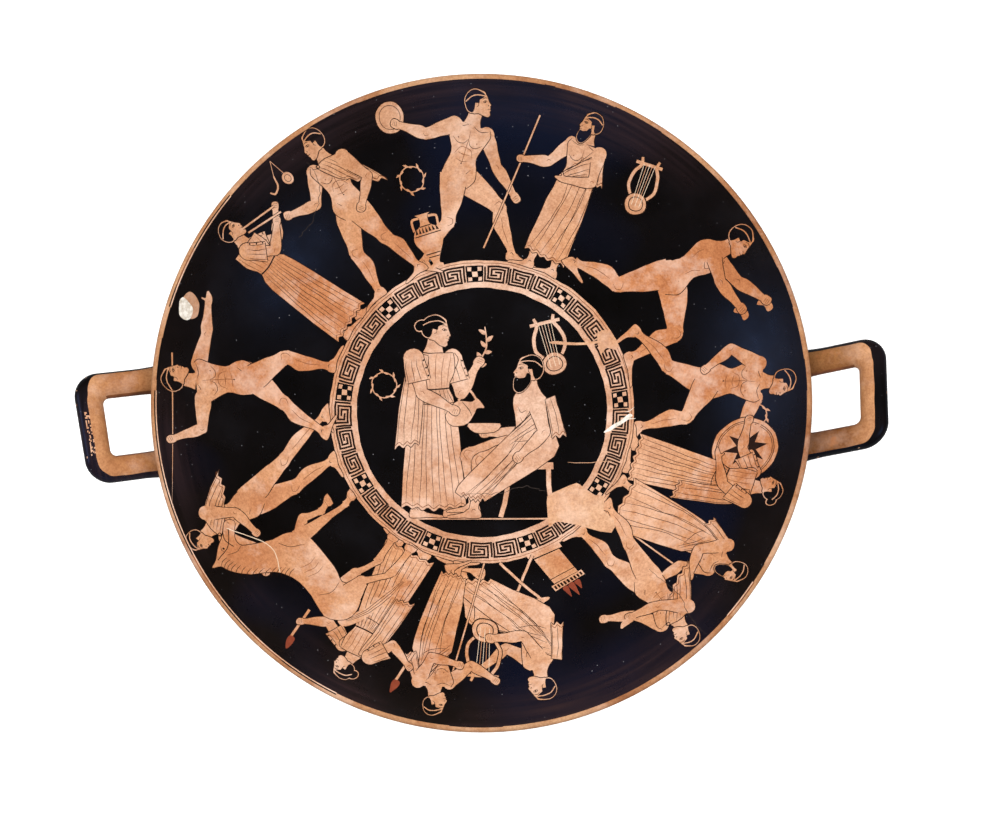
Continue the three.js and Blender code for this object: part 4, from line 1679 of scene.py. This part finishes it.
def gloss_material(name):
    """Black gloss: nearly black with a blue tint in its gloss, a painted dark-blue sheen on the outer wall, a
    painted brownish reflection in streaks near the rim, brush marks and pale specks.
    """
    s = Shader(name)
    tone = s.noise(26, 5)
    base = s.ramp(tone, [(0.3, colour(9, 7, 5)), (0.55, colour(14, 11, 10)), (0.75, colour(20, 18, 19))])
    # Painted sheen: dark-blue patches on the outer part of the wall stand in for the reflection of blue lamps
    # in the gloss
    outer_wall = s.fade(s.radius(), 0.088, 0.12, end=0.8)
    painted_sheen = s.fade(s.noise(8, 2), 0.5, 0.64)
    base = s.mix(s.times(outer_wall, painted_sheen), base, colour(11, 16, 34))
    # Painted reflection: a brownish sheen near the rim, broken into streaks that follow the wheel
    streaks = s.noise(1, 3, 0.6, s.streak_place(430, 1.6))
    near_rim = s.fade(s.radius(), 0.14, 0.158)
    uneven = s.fade(s.noise(9, 2), 0.44, 0.6)
    painted_rim_reflection = s.times(s.times(near_rim, uneven), s.fade(streaks, 0.4, 0.66, 0.25))
    base = s.mix(painted_rim_reflection, base, colour(48, 34, 36))
    cells = s.node("TexVoronoi", {"Vector": s.place, "Scale": 380.0, "Randomness": 1.0})
    pick = s.fade(s.node("SeparateColor", {0: cells.node.outputs["Color"]}), 0.86, 0.87)
    dot = s.fade(cells, 0.06, 0.12, 1.0, 0.0)
    patchy = s.fade(s.noise(18, 2), 0.4, 0.62, 0.15)
    base = s.mix(s.times(s.times(pick, dot), patchy), base, colour(150, 150, 155))
    rough = s.fade(s.noise(70, 4), 0.3, 0.7, 0.24, 0.36)
    return s.finish(base, rough, streaks, 0.12, Specular_IOR_Level=0.5, Specular_Tint=(0.5, 0.64, 1, 1))


# Distances in metres from the cup's axis at which the clay of the middle and of the handle bars changes
MIDDLE_FADE = (0.074, 0.08)
BAR_FADE = (0.183, 0.193)


def clay_material(name, low, middle, high, wash=0.45, paler=0.0, paler_bar=0.0):
    """Fired clay with mottling, washes, grain and stains. Paler in the middle or on the handle bars."""
    s = Shader(name)
    broad = s.noise(11, 3, 0.6)
    base = s.ramp(broad, [(0.38, colour(*low)), (0.5, colour(*middle)), (0.62, colour(*high))])
    pink = s.fade(broad, 0.38, 0.62, colour(206, 156, 122), colour(226, 192, 170))
    base = s.mix(s.fade(s.radius(), *MIDDLE_FADE, paler, 0.0), base, pink)
    base = s.mix(s.fade(s.radius(), *BAR_FADE, end=paler_bar), base, colour(202, 148, 104))
    grains = [(75, 0.5, (222, 204, 190)), (330, 0.4, (214, 196, 184)), (900, 0.55, (206, 190, 178))]
    for scale, strength, shade in grains:
        grain = s.fade(s.noise(scale, 3, 0.7), 0.36, 0.58, colour(*shade), colour(255, 255, 255))
        base = s.mix(strength, base, grain, "MULTIPLY")
    pale = s.fade(s.noise(34, 5, 0.75), 0.48, 0.64, end=wash)
    base = s.mix(pale, base, colour(238, 206, 186))
    stains = s.fade(s.noise(150, 3, 0.6), 0.62, 0.72, end=0.5)
    base = s.mix(stains, base, colour(172, 108, 66))
    rough = s.fade(s.noise(90, 3), 0.3, 0.7, 0.46, 0.62)
    return s.finish(base, rough, s.noise(520, 4, 0.6), 0.15, Specular_IOR_Level=0.25)


def plain_material(name, low, high, rough, scale=120, bump=0.08):
    """One colour with slight mottling, for lines, washes and repairs."""
    s = Shader(name)
    base = s.fade(s.noise(scale, 4, 0.6), 0.35, 0.65, colour(*low), colour(*high))
    return s.finish(base, rough, s.noise(scale * 3, 3), bump, Specular_IOR_Level=0.3)


def cup_materials():
    plain = [(164, 106, 60), (182, 124, 78), (196, 144, 100)]
    dark = [(130, 80, 38), (146, 94, 50), (160, 112, 68)]
    return {
        "gloss": gloss_material("black_gloss"),
        "clay": clay_material("reserved_clay", (200, 132, 86), (213, 156, 114), (222, 173, 139), paler=0.85),
        "pale_clay": clay_material("pale_clay", (212, 162, 128), (222, 180, 150), (232, 196, 172)),
        "lip_clay": clay_material("lip_clay", (154, 100, 62), (181, 131, 91), (197, 154, 116), 0.25),
        "plain_clay": clay_material("plain_clay", *plain, 0.2, paler_bar=0.7),
        "dark_clay": clay_material("dark_clay", *dark, 0.15, paler_bar=0.85),
        "worn_clay": clay_material("worn_clay", (150, 98, 62), (176, 122, 82), (196, 150, 112), 0.3),
        "line": plain_material("relief_line", (26, 13, 8), (44, 24, 15), 0.4),
        # Thinned glaze for fine lines and the worn lip line, and also the painted shade on the inner edges of
        # the handle arms
        "dilute_and_shade": plain_material("dilute_line_and_shade", (92, 52, 28), (140, 82, 46), 0.45, 90),
        "ochre": plain_material("added_red", (122, 52, 34), (150, 72, 46), 0.55),
        "cream": plain_material("added_white", (214, 186, 156), (232, 212, 188), 0.6),
        "infill": clay_material("pale_infill", (206, 154, 116), (218, 172, 136), (226, 186, 154), 0.3),
        "plaster": plain_material("white_plaster", (196, 184, 166), (240, 234, 224), 0.8, 500, 0.6),
        "crack": plain_material("crack_line", (44, 38, 36), (74, 62, 56), 0.7, 400),
    }


# Putting the cup together


def add_object(name, data):
    made = bpy.data.objects.new(name, data)
    bpy.context.scene.collection.objects.link(made)
    return made


def make_cup():
    cup = CupMesh()
    roots = [handle_roots(handle) for handle in HANDLES]
    holes = [ring_plan(BOWL_JOIN_RADIUS)] + [ring for _, rings in roots for ring in rings]
    inner = painted_sheet(cup, inside, paint_inside(), [], "gloss", INSIDE_MAP)
    outer = painted_sheet(cup, outside, paint_outside(), holes, "lip_clay", OUTSIDE_MAP)
    lip(cup, inner[0], outer[0])
    foot(cup, outer[1])
    ends = zip(outer[2::2], outer[3::2])
    for handle, (shares, _), (first, last), corner in zip(HANDLES, roots, ends, HANDLE_MAPS):
        add_handle(cup, handle, shares, first, last, corner)

    mesh = bpy.data.meshes.new("kylix_cup")
    used = sorted({i for corners in cup.faces for i in corners})
    number = {old: new for new, old in enumerate(used)}
    points = np.vstack(cup.points)[used] * MM
    mesh.from_pydata([tuple(p) for p in points], [], [[number[i] for i in corners] for corners in cup.faces])
    materials = cup_materials()
    slots = {name: slot for slot, name in enumerate(materials)}
    mesh.polygons.foreach_set("material_index", np.array([slots[name] for name in cup.colours], np.int32))
    mesh.polygons.foreach_set("use_smooth", np.ones(len(cup.faces), bool))
    layer = mesh.uv_layers.new(name="OFBake")
    layer.uv.foreach_set("vector", np.array(cup.maps, np.float32).ravel())
    for material in materials.values():
        mesh.materials.append(material)
    mesh.update()
    own = np.zeros(len(points) * 3, np.float32)
    mesh.vertex_normals.foreach_get("vector", own)
    normals = np.vstack(cup.normals)[used]
    normals = np.where(np.isnan(normals), own.reshape(-1, 3), normals)
    mesh.normals_split_custom_set_from_vertices([tuple(n) for n in normals])
    print("cup triangles:", sum(len(f) - 2 for f in cup.faces))
    return add_object("kylix_cup", mesh)


cup_piece = make_cup()
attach(cup_piece, "root")
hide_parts("kylix")

# Floor, lights and camera
FLOOR_HALF = 20.0
CAMERA_DISTANCE = 2.6
CAMERA_ELEVATION = 85
SENSOR_WIDTH = 36
PHOTO_WIDTH = 1000
PHOTO_HEIGHT = 838
RIM_CENTRE_X = 481.5
RIM_CENTRE_Y = 401
RIM_WIDTH = 662
SHEEN = (0.5, 0.68, 1)


def make_floor():
    mesh = bpy.data.meshes.new("floor")
    corners = [(x * FLOOR_HALF, y * FLOOR_HALF, 0) for x, y in ((-1, -1), (1, -1), (1, 1), (-1, 1))]
    mesh.from_pydata(corners, [], [(0, 1, 2, 3)])
    shader = Shader("pale_floor")
    tone = shader.fade(shader.noise(1.2, 2), 0.3, 0.7, colour(243, 243, 242), colour(248, 248, 247))
    shader.tree.links.new(tone, shader.surface.inputs["Emission Color"])
    mesh.materials.append(shader.finish(tone, 0.7, Emission_Strength=0.55, Specular_IOR_Level=0.1))
    floor = add_object("floor", mesh)
    floor.visible_diffuse = False
    floor.visible_glossy = False


def area_light(name, azimuth, elevation, distance, size, power, shade=(1, 1, 1), glossy=True, diffuse=True):
    """A soft box that faces the bowl. Azimuth is clockwise from +Y, seen from above."""
    light = bpy.data.lights.new(name, "AREA")
    light.shape = "RECTANGLE"
    light.size, light.size_y = size
    light.energy = power
    light.color = shade
    a, e = math.radians(azimuth), math.radians(elevation)
    target = Vector((0, 0, 0.1))
    away = Vector((math.sin(a) * math.cos(e), math.cos(a) * math.cos(e), math.sin(e)))
    lamp = add_object(name, light)
    lamp.location = target + away * distance
    lamp.rotation_euler = (-away).to_track_quat("-Z", "Y").to_euler()
    lamp.visible_glossy = glossy
    lamp.visible_diffuse = diffuse


def make_lights():
    area_light("key_left", 300, 58, 1.6, (1.2, 1.2), 15, glossy=False)
    area_light("key_right", 60, 58, 1.6, (1.2, 1.2), 12, glossy=False)
    area_light("front", 180, 62, 1.6, (1.2, 1.0), 9, glossy=False)
    area_light("sheen_left", 268, 15, 1.2, (0.5, 0.3), 0.8, SHEEN, diffuse=False)
    area_light("sheen_right", 122, 30, 1.2, (0.45, 0.3), 0.5, SHEEN, diffuse=False)
    area_light("sheen_front", 190, 12, 1.2, (0.9, 0.2), 0.3, SHEEN, diffuse=False)
    area_light("floor_sheen", 0, -90, 0.099, (2, 2), 2.4, diffuse=False)
    world = bpy.data.worlds.new("studio")
    world.use_nodes = True
    background = world.node_tree.nodes["Background"]
    background.inputs["Color"].default_value = (1, 1, 1, 1)
    background.inputs["Strength"].default_value = 0.5
    world.cycles_visibility.glossy = False
    bpy.context.scene.world = world
    bpy.context.scene.view_settings.view_transform = "Standard"


def make_camera():
    """A long lens that shows the rim where the photograph does."""
    e = math.radians(CAMERA_ELEVATION)
    back = Vector((0, -math.cos(e), math.sin(e)))
    up = Vector((0, math.sin(e), math.cos(e)))
    scale = 2 * RIM_RADIUS * MM / RIM_WIDTH
    rim = Vector((0, 0, CUP_HEIGHT * MM))
    target = rim + Vector((1, 0, 0)) * (PHOTO_WIDTH / 2 - RIM_CENTRE_X) * scale
    target += up * (RIM_CENTRE_Y - PHOTO_HEIGHT / 2) * scale
    camera = bpy.data.cameras.new("camera")
    camera.sensor_width = SENSOR_WIDTH
    camera.lens = SENSOR_WIDTH * CAMERA_DISTANCE / (PHOTO_WIDTH * scale)
    camera.clip_start, camera.clip_end = 0.1, 100
    holder = add_object("camera", camera)
    holder.location = target + back * CAMERA_DISTANCE
    holder.rotation_mode = "QUATERNION"
    holder.rotation_quaternion = (-back).to_track_quat("-Z", "Y")
    bpy.context.scene.camera = holder


make_floor()
make_lights()
make_camera()
